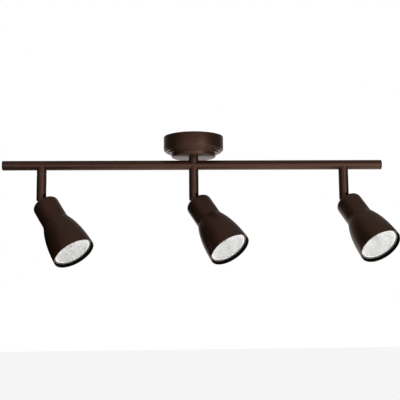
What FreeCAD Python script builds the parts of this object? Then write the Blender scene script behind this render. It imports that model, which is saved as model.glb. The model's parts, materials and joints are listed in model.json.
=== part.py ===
import FreeCAD, Part
import math
import os
from types import SimpleNamespace

import Sketcher

# A ceiling spot bar: a round stepped canopy, a short stem, one horizontal bar and three
# drop arms, each with a bell-shaped spot head on a slotted knuckle and a bayonet lamp.
# Millimetres. The origin is the centre of the canopy's open top, on the ceiling, with
# +Z up, +X along the bar and -Y towards the room's front.

Vector = FreeCAD.Vector
DOC = FreeCAD.newDocument("spot_bar")

# Driving dimensions: alias, value.
DIMENSIONS = [
    # bar and its end plugs
    ("bar_radius", 6.35), ("bar_bore", 5.05), ("bar_length", 498.0), ("bar_drop", 37.5),
    ("arm_spacing", 200.0), ("plug_flange", 2.1), ("plug_spigot_radius", 5.0),
    ("plug_spigot_length", 9.0), ("plug_edge", 0.5),
    # canopy: four steps, each a radius and its depth below the ceiling
    ("canopy_rim_radius", 39.5), ("canopy_rim_depth", 18.0),
    ("canopy_upper_radius", 37.4), ("canopy_upper_depth", 20.0),
    ("canopy_lower_radius", 33.5), ("canopy_lower_depth", 22.0),
    ("canopy_base_radius", 29.2), ("canopy_base_depth", 27.2),
    ("canopy_wall", 1.0), ("canopy_rim_edge", 0.8), ("canopy_step_edge", 0.4),
    ("canopy_base_edge", 1.5), ("canopy_stem_hole", 5.1),
    # ceiling strap and what it carries
    ("strap_half_length", 37.2), ("strap_width", 14.0), ("strap_thickness", 1.5),
    ("strap_ear_depth", 14.0), ("strap_bend", 2.0), ("ceiling_slot_spacing", 52.0),
    ("ceiling_slot_length", 12.0), ("ceiling_slot_width", 4.4),
    ("side_screw_radius", 2.0), ("side_screw_drop", 9.0), ("side_screw_length", 5.5),
    ("side_hole_radius", 2.2), ("side_screw_sink", 0.1),
    ("earth_screw_place", 16.8), ("earth_screw_radius", 1.75),
    ("earth_head_radius", 2.8), ("earth_head_height", 2.0),
    ("block_length", 27.0), ("block_width", 16.0), ("block_height", 12.0),
    ("pole_spacing", 9.0), ("pole_tunnel_radius", 2.1), ("pole_screw_radius", 1.5),
    ("pole_screw_offset", 4.5), ("pole_screw_length", 4.0), ("pole_well_radius", 1.7),
    ("pole_well_depth", 4.0), ("pole_tunnel_rise", 4.0), ("block_edge", 1.0),
    # stem between canopy and bar
    ("stem_spigot_radius", 4.95), ("stem_spigot_length", 7.5), ("stem_bore", 3.5),
    ("stem_nut_flats", 14.0), ("stem_nut_height", 4.0), ("stem_washer_radius", 8.5),
    ("stem_washer_height", 0.6), ("saddle_lap", 1.2), ("saddle_gap", 0.02),
    # swivel between bar and arm
    ("seam_drop", 49.3), ("seam_gap", 0.4), ("collar_boss", 4.65), ("collar_hole", 4.7),
    ("collar_land_drop", 40.5), ("collar_bore", 3.05), ("swivel_well_radius", 4.7),
    ("swivel_well_depth", 3.2), ("nipple_radius", 2.95), ("nipple_bore", 1.9),
    ("nipple_top_drop", 37.4), ("nipple_flange", 4.6), ("nipple_flange_height", 2.0),
    ("nipple_thread", 3.95), ("nipple_thread_length", 6.5), ("stop_width", 1.0),
    ("stop_inner_radius", 3.3), ("stop_inset", 0.1), ("stop_root", 0.5), ("stop_height", 1.2),
    ("swivel_nut_radius", 4.1),
    ("swivel_nut_height", 2.0), ("swivel_washer_height", 0.3), ("key_slot", 1.0),
    # arm and knuckle
    ("arm_length", 35.3), ("arm_bore", 4.0), ("arm_bore_length", 20.5),
    ("arm_end_edge", 2.0), ("pivot_drop", 80.3), ("slot_width", 5.6), ("slot_radius", 4.6),
    ("lead_way_radius", 1.8), ("pivot_radius", 1.5), ("pivot_hole", 1.55),
    ("pivot_head_radius", 2.8), ("pivot_head_height", 1.3), ("pivot_washer_height", 0.3),
    ("pivot_well_radius", 2.95), ("pivot_well_floor", 4.0), ("pivot_tip", 4.6),
    ("tongue_width", 5.4), ("tongue_radius", 4.2), ("tongue_hole", 1.55),
    ("tongue_flange_radius", 5.6), ("tongue_flange_height", 3.5), ("tongue_spigot", 3.9),
    ("tongue_spigot_length", 7.2), ("tongue_bore", 2.0), ("tongue_bore_top", 3.1),
    ("tongue_cross_hole", 1.4), ("tongue_cross_place", 4.8), ("head_back", 10.0),
    # shade, measured along the head's axis from its back face
    ("shade_length", 86.3), ("shade_wall", 1.0), ("neck_radius", 17.05),
    ("neck_length", 34.0), ("neck_back_edge", 5.4), ("neck_waist_edge", 14.0),
    ("flare_control_place", 53.0), ("flare_control_radius", 26.5), ("rim_radius", 27.2),
    ("rim_wall", 0.75), ("shade_hole", 4.1),
    # lampholder and the bracket that carries it
    ("bracket_wall", 1.0), ("bracket_half_length", 11.0), ("bracket_width", 11.0),
    ("bracket_tab", 4.6), ("bracket_bend", 1.0), ("holder_back", 20.0),
    ("holder_front", 34.2), ("holder_radius", 13.5), ("holder_edge", 0.8),
    ("holder_screw_place", 8.4), ("holder_screw_radius", 1.5), ("holder_hole", 1.65),
    ("holder_head_radius", 2.7), ("holder_head_height", 2.0), ("holder_well_radius", 3.0),
    ("holder_well_depth", 3.0), ("tongue_nut_flats", 12.0), ("tongue_nut_height", 3.5),
    ("tongue_washer_radius", 6.4), ("tongue_washer_height", 0.8),
    # bayonet lamp
    ("pin_place", 5.0), ("pin_radius", 1.5), ("pin_head_radius", 2.5),
    ("pin_head_height", 2.0), ("pin_length", 6.5), ("key_neck_radius", 1.7),
    ("key_head_radius", 2.8), ("key_plate", 3.2), ("key_depth", 7.2),
    ("key_twist", 25.0), ("key_neck_over", 20.0), ("key_head_over", 33.0),
    ("lamp_back", 34.5), ("lamp_base_radius", 13.0), ("lamp_base_length", 13.5),
    ("lamp_base_edge", 1.0), ("lamp_front", 82.3), ("lamp_radius", 25.0),
    ("lamp_throat_radius", 13.0), ("lamp_wall", 1.3), ("lamp_rim_height", 4.0),
    ("lamp_glass_radius", 24.3), ("lamp_glass_height", 1.6), ("lamp_glass_edge", 0.5),
    ("lamp_glass_gap", 0.05), ("lamp_seat_lap", 1.0),
    ("lamp_bowl_control", 62.0), ("burner_radius", 4.5), ("burner_hole", 4.8),
    ("burner_length", 19.0), ("burner_tip_flat", 0.6),
    # insulated leads: how the three of a pole fan out, drop down the stem and run in the bar
    ("lead_radius", 0.6), ("lead_offset", 0.8), ("lead_way_gap", 0.15),
    ("lead_entry", 5.0), ("lead_fan", 1.3), ("lead_front_upper", 6.0), ("lead_front_lower", 3.6),
    ("lead_rise_upper", 3.6), ("lead_rise_lower", 2.0), ("lead_row", 2.0),
    ("lead_run_height", 2.9), ("lead_foot_gap", 1.0), ("earth_front", 2.2),
    ("head_lead_offset", 0.9), ("head_lead_split", 9.5), ("head_lead_join", 15.5),
    ("head_lead_sink", 3.0), ("holder_way_depth", 4.6),
    # shared small sizes: clearances, broken edges, driver slots and how far a cutter overruns
    ("thread_gap", 0.05), ("tapped_gap", 0.02), ("washer_gap", 0.15), ("edge_break", 0.3),
    ("rim_break", 0.25), ("flange_break", 0.5), ("thread_chamfer", 0.5), ("overrun", 1.0),
    ("driver_width", 0.6), ("driver_depth", 0.9), ("key_slot_depth", 0.8),
]


class Size:
    """A number together with the sheet expression that gives it."""

    def __init__(self, value, text):
        self.value = value
        self.text = text

    def __add__(self, other):
        return combined(self, "+", other)

    def __radd__(self, other):
        return combined(other, "+", self)

    def __sub__(self, other):
        return combined(self, "-", other)

    def __rsub__(self, other):
        return combined(other, "-", self)

    def __mul__(self, other):
        return combined(self, "*", other)

    def __truediv__(self, other):
        return combined(self, "/", other)

    def __neg__(self):
        return Size(-self.value, f"-({self.text})")


def as_size(number):
    """Gives a plain number the same form as a sheet size."""
    if isinstance(number, Size):
        return number
    return Size(float(number), repr(float(number)))


def combined(left, sign, right):
    """Joins two sizes with an arithmetic sign."""
    left = as_size(left)
    right = as_size(right)
    values = {
        "+": left.value + right.value,
        "-": left.value - right.value,
        "*": left.value * right.value,
        "/": left.value / right.value if right.value else math.inf,
    }
    return Size(values[sign], f"({left.text} {sign} {right.text})")


def fill_sheet():
    """Writes the driving dimensions to the sheet and returns them as sizes."""
    sheet = DOC.addObject("Spreadsheet::Sheet", "Sizes")
    for row, (alias, value) in enumerate(DIMENSIONS, 1):
        sheet.set(f"A{row}", alias)
        sheet.set(f"B{row}", str(value))
        sheet.setAlias(f"B{row}", alias)
    DOC.recompute()
    return SimpleNamespace(**{alias: Size(value, f"Sizes.{alias}") for alias, value in DIMENSIONS})


S = fill_sheet()
ZERO = as_size(0.0)
SUBPARTS = []


# ---------------------------------------------------------------- modelling helpers

def bind(item, prop, number):
    """Sets a property to a size and ties it to the sheet."""
    item.setExpression(prop, as_size(number).text)


def new_body(label, placement=None):
    """Starts a PartDesign body with its own label and placement."""
    body = DOC.addObject("PartDesign::Body", label)
    body.Label = label
    if placement:
        body.Placement = placement
    return body


def sketch_on(body, role, height=None):
    """Adds a sketch on one of the body's origin planes, moved along its normal."""
    plane = next(item for item in body.Origin.OriginFeatures if item.Role == role)
    sketch = body.newObject("Sketcher::SketchObject", f"{body.Name}_sketch")
    sketch.AttachmentSupport = [(plane, "")]
    sketch.MapMode = "FlatFace"
    if height is not None:
        bind(sketch, "AttachmentOffset.Base.z", height)
    return sketch


def pin_point(sketch, geometry, spot, place):
    """Holds one point of a sketch at a place from the sheet."""
    for kind, number in zip(("DistanceX", "DistanceY"), map(as_size, place)):
        index = sketch.addConstraint(Sketcher.Constraint(kind, geometry, spot, number.value))
        sketch.setExpression(f"Constraints[{index}]", number.text)


def outline(sketch, corners, curves=None):
    """Draws a closed outline through corners; curves maps a side to its control point."""
    curves = curves or {}
    points = [Vector(as_size(x).value, as_size(y).value, 0) for x, y in corners]
    sides = []
    for side, start in enumerate(points):
        end = points[(side + 1) % len(points)]
        if side in curves:
            control = Vector(*(as_size(number).value for number in curves[side]), 0)
            curve = Part.BSplineCurve()
            curve.buildFromPolesMultsKnots([start, control, end], [3, 3], [0.0, 1.0], False, 2)
            sides.append(sketch.addGeometry(curve, False))
            sketch.exposeInternalGeometry(sides[-1])
            pin_point(sketch, sides[-1] + 2, 3, curves[side])
        else:
            sides.append(sketch.addGeometry(Part.LineSegment(start, end), False))
    for side, geometry in enumerate(sides):
        following = sides[(side + 1) % len(sides)]
        sketch.addConstraint(Sketcher.Constraint("Coincident", geometry, 2, following, 1))
        pin_point(sketch, geometry, 1, corners[side])
    return sketch


def ring(sketch, place, *radii):
    """Draws one or more circles about a place."""
    for radius in map(as_size, radii):
        centre = Vector(*(as_size(number).value for number in place), 0)
        geometry = sketch.addGeometry(Part.Circle(centre, Vector(0, 0, 1), radius.value), False)
        pin_point(sketch, geometry, 3, place)
        index = sketch.addConstraint(Sketcher.Constraint("Radius", geometry, radius.value))
        sketch.setExpression(f"Constraints[{index}]", radius.text)
    return sketch


def obround(sketch, place, length, width):
    """Draws a round-ended slot along the sketch's first axis."""
    middle, level = map(as_size, place)
    radius = width / 2
    reach = (length - width) / 2
    left = Vector(middle.value - reach.value, level.value, 0)
    right = Vector(middle.value + reach.value, level.value, 0)
    side = Vector(0, radius.value, 0)
    axis = Vector(0, 0, 1)
    quarter = math.pi / 2
    ends = [Part.ArcOfCircle(Part.Circle(left, axis, radius.value), quarter, 3 * quarter),
            Part.ArcOfCircle(Part.Circle(right, axis, radius.value), -quarter, quarter)]
    first = sketch.addGeometry(ends[0], False)
    sketch.addGeometry(Part.LineSegment(left - side, right - side), False)
    sketch.addGeometry(ends[1], False)
    sketch.addGeometry(Part.LineSegment(right + side, left + side), False)
    for step in range(4):
        following = first + (step + 1) % 4
        sketch.addConstraint(Sketcher.Constraint("Tangent", first + step, 2, following, 1))
    pin_point(sketch, first, 3, (middle - reach, level))
    pin_point(sketch, first + 2, 3, (middle + reach, level))
    index = sketch.addConstraint(Sketcher.Constraint("Radius", first, radius.value))
    sketch.setExpression(f"Constraints[{index}]", radius.text)
    return sketch


def turned(body, kind, sketch, sweep=360.0, back=None):
    """Adds a Revolution or Groove about the sketch's vertical axis."""
    feature = body.newObject(f"PartDesign::{kind}", f"{body.Name}_{kind}")
    feature.Profile = sketch
    feature.ReferenceAxis = (sketch, ["V_Axis"])
    bind(feature, "Angle", sweep)
    if back is not None:
        feature.Type = "TwoAngles"
        bind(feature, "Angle2", back)
    return feature


def raised(body, kind, sketch, length, side="One side", reverse=False):
    """Adds a Pad or Pocket of a sketch."""
    feature = body.newObject(f"PartDesign::{kind}", f"{body.Name}_{kind}")
    feature.Profile = sketch
    feature.SideType = side
    feature.Reversed = reverse
    bind(feature, "Length", length)
    return feature


def patterned(body, kind, source, axis, **settings):
    """Repeats one feature of a body along or about an axis of its sketch."""
    DOC.recompute()
    feature = body.newObject(f"PartDesign::{kind}", f"{body.Name}_{kind}")
    feature.Originals = [source]
    prop = "Direction" if kind == "LinearPattern" else "Axis"
    setattr(feature, prop, (source.Profile[0], [axis]))
    for name, value in settings.items():
        if isinstance(value, Size):
            bind(feature, name, value)
        else:
            setattr(feature, name, value)
    body.Tip = feature
    return feature


def eased(body, wanted, radius, kind="Fillet"):
    """Fillets or chamfers the tip's edges for which wanted(edge) is true."""
    DOC.recompute()
    base = body.Tip
    names = [f"Edge{place}" for place, edge in enumerate(base.Shape.Edges, 1) if wanted(edge)]
    feature = body.newObject(f"PartDesign::{kind}", f"{body.Name}_{kind}")
    feature.Base = (base, names)
    bind(feature, "Radius" if kind == "Fillet" else "Size", radius)
    return feature


def rim_at(radius, height):
    """A test for round edges about Z with a radius and a height."""
    def wanted(edge):
        curve = edge.Curve
        return (isinstance(curve, Part.Circle)
                and abs(curve.Center.x) + abs(curve.Center.y) < 1e-4
                and abs(curve.Radius - as_size(radius).value) < 1e-4
                and abs(curve.Center.z - as_size(height).value) < 1e-4)
    return wanted


def primitive(kind, name, place=(0, 0, 0), **sizes):
    """Makes a Part primitive whose sizes and place are tied to the sheet."""
    item = DOC.addObject(f"Part::{kind}", name)
    for prop, number in sizes.items():
        bind(item, prop, number)
    for axis, number in zip("xyz", place):
        bind(item, f"Placement.Base.{axis}", number)
    return item


def hexagon(name, flats, height, level):
    """A hexagonal prism across the given flats, standing on a level."""
    prism = DOC.addObject("Part::Prism", name)
    prism.Polygon = 6
    bind(prism, "Circumradius", flats / math.sqrt(3.0))
    bind(prism, "Height", height)
    bind(prism, "Placement.Base.z", level)
    return prism


def cut(name, base, tool):
    """Part::Cut of two objects."""
    item = DOC.addObject("Part::Cut", name)
    item.Base = base
    item.Tool = tool
    return item


def fused(name, *items):
    """Part::MultiFuse of objects that are one piece of metal."""
    item = DOC.addObject("Part::MultiFuse", name)
    item.Shapes = list(items)
    return item


def group(label, pieces):
    """Keeps separate identical solids together as one sub-part."""
    item = DOC.addObject("Part::Compound", label)
    item.Label = label
    item.Links = list(pieces)
    return item


def done(item):
    """Lists a finished sub-part."""
    SUBPARTS.append(item)
    return item


def driver_slot(name, radius, level, width=S.driver_width):
    """A straight cutter across a round face, from a level up."""
    reach = radius + S.overrun
    return primitive("Box", name, (-reach, -width / 2, level),
                     Length=reach * 2, Width=width, Height=S.driver_depth + S.overrun)


def slotted_screw(name, head, head_height, shank, shank_length):
    """A cheese-head screw: head from 0 up, shank below, with a driver slot."""
    top = primitive("Cylinder", f"{name}_head", Radius=head, Height=head_height)
    stem = primitive("Cylinder", f"{name}_shank", (0, 0, -shank_length),
                     Radius=shank, Height=shank_length)
    slot = driver_slot(f"{name}_slot", head, head_height - S.driver_depth)
    return cut(name, fused(f"{name}_blank", top, stem), slot)


# ---------------------------------------------------------------- canopy and strap

def canopy():
    """The pressed stepped cup that hides the ceiling box."""
    wall = S.canopy_wall
    steps = [(S.canopy_rim_radius, S.canopy_rim_depth), (S.canopy_upper_radius, S.canopy_upper_depth),
             (S.canopy_lower_radius, S.canopy_lower_depth), (S.canopy_base_radius, S.canopy_base_depth)]
    outside = [(steps[0][0], ZERO)]
    inside = [(steps[0][0] - wall, ZERO)]
    for place, (radius, depth) in enumerate(steps):
        following = steps[place + 1][0] if place < 3 else S.canopy_stem_hole
        outside += [(radius, -depth), (following, -depth)]
        edge = following - wall if place < 3 else following
        inside += [(radius - wall, wall - depth), (edge, wall - depth)]
    body = new_body("canopy")
    turned(body, "Revolution", outline(sketch_on(body, "XZ_Plane"), outside + inside[::-1]))
    eased(body, rim_at(steps[0][0], -steps[0][1]), S.canopy_rim_edge)
    for radius, depth in steps[1:3]:
        eased(body, rim_at(radius, -depth), S.canopy_step_edge)
    eased(body, rim_at(steps[3][0], -steps[3][1]), S.canopy_base_edge)
    holes = ring(sketch_on(body, "YZ_Plane"), (0, -S.side_screw_drop), S.side_hole_radius)
    raised(body, "Pocket", holes, S.canopy_rim_radius * 2.2, "Symmetric")
    done(body)


def ceiling_strap():
    """The steel strap screwed to the ceiling, with an ear bent down at each end."""
    half = S.strap_half_length
    thick = S.strap_thickness
    corners = [(-half, 0), (half, 0), (half, -S.strap_ear_depth), (half - thick, -S.strap_ear_depth),
               (half - thick, -thick), (thick - half, -thick), (thick - half, -S.strap_ear_depth),
               (-half, -S.strap_ear_depth)]
    body = new_body("ceiling_strap")
    raised(body, "Pad", outline(sketch_on(body, "XZ_Plane"), corners), S.strap_width, "Symmetric")
    eased(body, lambda edge: edge.BoundBox.YLength > 1 and abs(edge.BoundBox.ZMax) < 1e-6
          and abs(abs(edge.BoundBox.Center.x) - half.value) < 1e-3, S.strap_bend)
    for side in (-1, 1):
        place = S.ceiling_slot_spacing * (side / 2)
        slot = obround(sketch_on(body, "XY_Plane"), (place, 0), S.ceiling_slot_length, S.ceiling_slot_width)
        raised(body, "Pocket", slot, thick * 4, "Symmetric")
    earth = ring(sketch_on(body, "XY_Plane"), (S.earth_screw_place, 0), S.earth_screw_radius)
    raised(body, "Pocket", earth, thick * 4, "Symmetric")
    ears = ring(sketch_on(body, "YZ_Plane"), (0, -S.side_screw_drop), S.side_screw_radius)
    raised(body, "Pocket", ears, half * 3, "Symmetric")
    done(body)


def canopy_side_screws():
    """Two slotted grub screws in the ears, backed out into the canopy's side holes."""
    screws = []
    for name, turn in (("side_screw_right", 90), ("side_screw_left", -90)):
        rod = primitive("Cylinder", f"{name}_rod", Radius=S.side_screw_radius, Height=S.side_screw_length)
        slot = driver_slot(f"{name}_slot", S.side_screw_radius, S.side_screw_length - S.driver_depth)
        screw = cut(name, rod, slot)
        screw.Placement.Rotation = FreeCAD.Rotation(Vector(0, 1, 0), turn)
        inner = (S.canopy_rim_radius - S.side_screw_sink - S.side_screw_length) * (turn // 90)
        bind(screw, "Placement.Base.x", inner)
        bind(screw, "Placement.Base.z", -S.side_screw_drop)
        screws.append(screw)
    done(group("canopy_side_screws", screws))


def pole_places():
    """Places along X of the terminal block's three poles."""
    return [S.pole_spacing * step for step in (-1, 0, 1)]


def block_floor():
    """Height of the terminal block's underside."""
    return -(S.strap_thickness + S.block_height)


def tunnel_height():
    """Height of the axis of the block's wire tunnels."""
    return block_floor() + S.pole_tunnel_rise


def terminal_block():
    """Three-pole connector block on the strap's underside."""
    body = new_body("terminal_block")
    half = S.block_length / 2
    level = -S.strap_thickness
    corners = [(-half, level), (half, level), (half, block_floor()), (-half, block_floor())]
    raised(body, "Pad", outline(sketch_on(body, "XZ_Plane"), corners), S.block_width, "Symmetric")
    eased(body, lambda edge: edge.BoundBox.ZLength > 1, S.block_edge)
    tunnels = sketch_on(body, "XZ_Plane")
    for place in pole_places():
        ring(tunnels, (place, tunnel_height()), S.pole_tunnel_radius)
    raised(body, "Pocket", tunnels, S.block_width * 2, "Symmetric")
    wells = sketch_on(body, "XY_Plane", block_floor())
    for place in pole_places():
        for side in (-1, 1):
            ring(wells, (place, S.pole_screw_offset * side), S.pole_well_radius)
    raised(body, "Pocket", wells, S.pole_well_depth, reverse=True)
    done(body)


def terminal_screws():
    """Six slotted clamping screws, two to a pole, in the wells of the block."""
    screws = []
    for number, place in enumerate(pole_places()):
        for side in (-1, 1):
            name = f"pole_screw_{number}_{'front' if side < 0 else 'back'}"
            level = tunnel_height() - S.lead_radius - S.pole_screw_length
            rod = primitive("Cylinder", f"{name}_rod", Radius=S.pole_screw_radius, Height=S.pole_screw_length)
            slot = driver_slot(f"{name}_slot", S.pole_screw_radius, -S.overrun)
            screw = cut(name, rod, slot)
            bind(screw, "Placement.Base.x", place)
            bind(screw, "Placement.Base.y", S.pole_screw_offset * side)
            bind(screw, "Placement.Base.z", level)
            screws.append(screw)
    done(group("terminal_screws", screws))


def earth_screw():
    """The earth screw through the strap, head down."""
    screw = slotted_screw("earth_screw", S.earth_head_radius, S.earth_head_height,
                          S.earth_screw_radius - S.thread_gap, S.strap_thickness)
    screw.Placement.Rotation = FreeCAD.Rotation(Vector(1, 0, 0), 180)
    bind(screw, "Placement.Base.x", S.earth_screw_place)
    bind(screw, "Placement.Base.z", -S.strap_thickness)
    done(screw)


# ---------------------------------------------------------------- stem and bar

def saddle_cut(body):
    """Hollows a body to the round of the bar, with a hair's gap for the braze."""
    seat = ring(sketch_on(body, "YZ_Plane"), (0, -S.bar_drop), S.bar_radius + S.saddle_gap)
    raised(body, "Pocket", seat, S.bar_radius * 4, "Symmetric")


def stem():
    """The short tube from canopy to bar, with a threaded spigot for its nut."""
    top = S.stem_spigot_length - S.canopy_base_depth
    foot = S.saddle_lap - S.bar_drop
    corners = [(S.stem_bore, top), (S.stem_spigot_radius, top), (S.stem_spigot_radius, -S.canopy_base_depth),
               (S.bar_radius, -S.canopy_base_depth), (S.bar_radius, foot), (S.stem_bore, foot)]
    body = new_body("stem")
    turned(body, "Revolution", outline(sketch_on(body, "XZ_Plane"), corners))
    saddle_cut(body)
    eased(body, rim_at(S.stem_spigot_radius, top), S.thread_chamfer, "Chamfer")
    done(body)


def stem_nut():
    """Hexagon nut and toothed washer that clamp the canopy to the stem."""
    floor = S.canopy_wall - S.canopy_base_depth
    disc = primitive("Cylinder", "stem_washer_disc", (0, 0, floor),
                     Radius=S.stem_washer_radius, Height=S.stem_washer_height)
    eye = primitive("Cylinder", "stem_washer_eye", (0, 0, floor - S.overrun),
                    Radius=S.stem_spigot_radius + S.washer_gap, Height=S.stem_washer_height + S.overrun * 2)
    bottom = floor + S.stem_washer_height
    prism = hexagon("stem_nut_prism", S.stem_nut_flats, S.stem_nut_height, bottom)
    thread = primitive("Cylinder", "stem_nut_thread", (0, 0, bottom - S.overrun),
                       Radius=S.stem_spigot_radius + S.thread_gap, Height=S.stem_nut_height + S.overrun * 2)
    done(group("stem_nut", [cut("stem_washer", disc, eye), cut("stem_hexagon", prism, thread)]))


def bar_tube():
    """The horizontal tube, holed on top for the stem's leads and below for the collars."""
    body = new_body("bar_tube")
    section = ring(sketch_on(body, "YZ_Plane"), (0, -S.bar_drop), S.bar_radius, S.bar_bore)
    raised(body, "Pad", section, S.bar_length, "Symmetric")
    way = ring(sketch_on(body, "XY_Plane", -S.bar_drop), (0, 0), S.stem_bore)
    raised(body, "Pocket", way, S.bar_radius * 2, reverse=True)
    seat = ring(sketch_on(body, "XY_Plane", -S.bar_drop), (-S.arm_spacing, 0), S.collar_hole)
    hole = raised(body, "Pocket", seat, S.bar_radius * 2)
    patterned(body, "LinearPattern", hole, "H_Axis", Length=S.arm_spacing * 2, Occurrences=3)
    done(body)


def bar_end_plugs():
    """The two moulded plugs that close the bar."""
    plugs = []
    for name, side in (("plug_left", -1), ("plug_right", 1)):
        body = new_body(name)
        outer = [(0, 0), (S.plug_spigot_radius, 0), (S.plug_spigot_radius, S.plug_spigot_length),
                 (S.bar_radius, S.plug_spigot_length), (S.bar_radius, S.plug_spigot_length + S.plug_flange),
                 (0, S.plug_spigot_length + S.plug_flange)]
        turned(body, "Revolution", outline(sketch_on(body, "XZ_Plane"), outer))
        eased(body, rim_at(S.bar_radius, S.plug_spigot_length + S.plug_flange), S.plug_edge)
        body.Placement.Rotation = FreeCAD.Rotation(Vector(0, 1, 0), 90 * side)
        bind(body, "Placement.Base.x", (S.bar_length / 2 - S.plug_spigot_length) * side)
        bind(body, "Placement.Base.z", -S.bar_drop)
        plugs.append(body)
    done(group("bar_end_plugs", plugs))


def stop_peg(body, side, base, height):
    """Adds the square peg of the turning stop on one side of the swivel's axis."""
    inner = S.stop_inner_radius * side
    outer = (S.nipple_flange - S.stop_inset) * side
    half = S.stop_width / 2
    corners = [(inner, -half), (outer, -half), (outer, half), (inner, half)]
    raised(body, "Pad", outline(sketch_on(body, "XY_Plane", base), corners), height)


def arm_collars():
    """Three collars brazed under the bar; each holds one arm's swivel."""
    collars = []
    for name, place in (("left", -1), ("middle", 0), ("right", 1)):
        body = new_body(f"collar_{name}")
        sleeve = ring(sketch_on(body, "XY_Plane", -S.seam_drop), (0, 0), S.bar_radius, S.collar_bore)
        raised(body, "Pad", sleeve, S.seam_drop - S.bar_drop - S.saddle_lap)
        saddle_cut(body)
        well_top = S.swivel_well_depth - S.seam_drop
        boss = ring(sketch_on(body, "XY_Plane", well_top + S.overrun), (0, 0), S.collar_boss, S.collar_bore)
        raised(body, "Pad", boss, -S.collar_land_drop - well_top - S.overrun)
        well = ring(sketch_on(body, "XY_Plane", -S.seam_drop), (0, 0), S.swivel_well_radius)
        raised(body, "Pocket", well, S.swivel_well_depth, reverse=True)
        stop_peg(body, 1, well_top - S.stop_height, S.stop_height + S.stop_root)
        eased(body, rim_at(S.bar_radius, -S.seam_drop), S.edge_break)
        bind(body, "Placement.Base.x", S.arm_spacing * place)
        collars.append(body)
    done(group("arm_collars", collars))


# ---------------------------------------------------------------- arm and swivel

def swivel_nipple(label, place):
    """The hollow screw that hangs the arm from its collar and lets it turn."""
    top = -S.nipple_top_drop
    seat = -(S.seam_drop + S.seam_gap)
    flange = seat + S.nipple_flange_height
    foot = seat - S.nipple_thread_length
    corners = [(S.nipple_bore, top), (S.nipple_radius, top), (S.nipple_radius, flange),
               (S.nipple_flange, flange), (S.nipple_flange, seat), (S.nipple_thread, seat),
               (S.nipple_thread, foot), (S.nipple_bore, foot)]
    body = new_body(label, place)
    turned(body, "Revolution", outline(sketch_on(body, "XZ_Plane"), corners))
    stop_peg(body, -1, flange, S.stop_height)
    done(body)


def swivel_nut(label, place):
    """Round key-slotted nut and friction washer that rest on the collar's land."""
    land = -S.collar_land_drop
    washer = primitive("Cylinder", f"{label}_washer_disc", (0, 0, land),
                       Radius=S.swivel_nut_radius, Height=S.swivel_washer_height)
    nut = primitive("Cylinder", f"{label}_nut_disc", (0, 0, land + S.swivel_washer_height),
                    Radius=S.swivel_nut_radius, Height=S.swivel_nut_height)
    stack = S.swivel_washer_height + S.swivel_nut_height
    thread = primitive("Cylinder", f"{label}_thread", (0, 0, land - S.overrun),
                       Radius=S.nipple_radius + S.thread_gap, Height=stack + S.overrun * 2)
    slot = driver_slot(f"{label}_key", S.swivel_nut_radius, land + stack - S.key_slot_depth, S.key_slot)
    pieces = [cut(f"{label}_friction", washer, thread),
              cut(f"{label}_round", nut, fused(f"{label}_tool", thread, slot))]
    item = group(label, pieces)
    item.Placement = place
    done(item)


def arm_tube(label, place):
    """The drop arm: bored from the top, slotted at its foot for the head's tongue."""
    top = -(S.seam_drop + S.seam_gap)
    foot = top - S.arm_length
    floor = top - S.arm_bore_length
    pivot = -S.pivot_drop
    corners = [(S.arm_bore, top), (S.bar_radius, top), (S.bar_radius, foot), (0, foot),
               (0, floor), (S.arm_bore, floor)]
    body = new_body(label, place)
    turned(body, "Revolution", outline(sketch_on(body, "XZ_Plane"), corners))
    eased(body, rim_at(S.bar_radius, foot), S.arm_end_edge)
    eased(body, rim_at(S.bar_radius, top), S.edge_break)
    round_end = ring(sketch_on(body, "XZ_Plane"), (0, pivot), S.slot_radius)
    raised(body, "Pocket", round_end, S.slot_width, "Symmetric")
    beyond = S.bar_radius + S.overrun
    below = foot - S.overrun
    front = [(0, pivot + S.slot_radius), (beyond, pivot + S.slot_radius), (beyond, pivot), (0, pivot)]
    raised(body, "Pocket", outline(sketch_on(body, "XZ_Plane"), front), S.slot_width, "Symmetric")
    under = [(-S.slot_radius, pivot), (beyond, pivot), (beyond, below), (-S.slot_radius, below)]
    raised(body, "Pocket", outline(sketch_on(body, "XZ_Plane"), under), S.slot_width, "Symmetric")
    way = ring(sketch_on(body, "XY_Plane", pivot + S.slot_radius / 2), (0, 0), S.lead_way_radius)
    raised(body, "Pocket", way, floor - pivot, reverse=True)
    well = ring(sketch_on(body, "XZ_Plane", -S.pivot_well_floor), (0, pivot), S.pivot_well_radius)
    raised(body, "Pocket", well, S.bar_radius)
    hole = ring(sketch_on(body, "XZ_Plane", S.pivot_tip), (0, pivot), S.pivot_hole)
    raised(body, "Pocket", hole, S.pivot_tip + S.bar_radius)
    done(body)


def pivot_screw(label, place):
    """The shoulder screw through the knuckle, with its washer."""
    head_seat = S.pivot_well_floor + S.pivot_washer_height
    screw = slotted_screw(f"{label}_screw", S.pivot_head_radius, S.pivot_head_height,
                          S.pivot_radius, head_seat + S.pivot_tip - S.edge_break)
    bind(screw, "Placement.Base.z", head_seat)
    disc = primitive("Cylinder", f"{label}_disc", (0, 0, S.pivot_well_floor),
                     Radius=S.pivot_head_radius, Height=S.pivot_washer_height)
    eye = primitive("Cylinder", f"{label}_eye", Radius=S.pivot_radius + S.thread_gap,
                    Height=S.pivot_well_floor * 2)
    item = group(label, [screw, cut(f"{label}_washer", disc, eye)])
    item.Placement = place.multiply(FreeCAD.Placement(Vector(0, 0, -S.pivot_drop.value),
                                                      FreeCAD.Rotation(Vector(1, 0, 0), -90)))
    done(item)


# ---------------------------------------------------------------- spot head

def along(distance):
    """Height, in the head's own frame, of a distance forward of its back face."""
    return -(S.head_back + distance)


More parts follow.
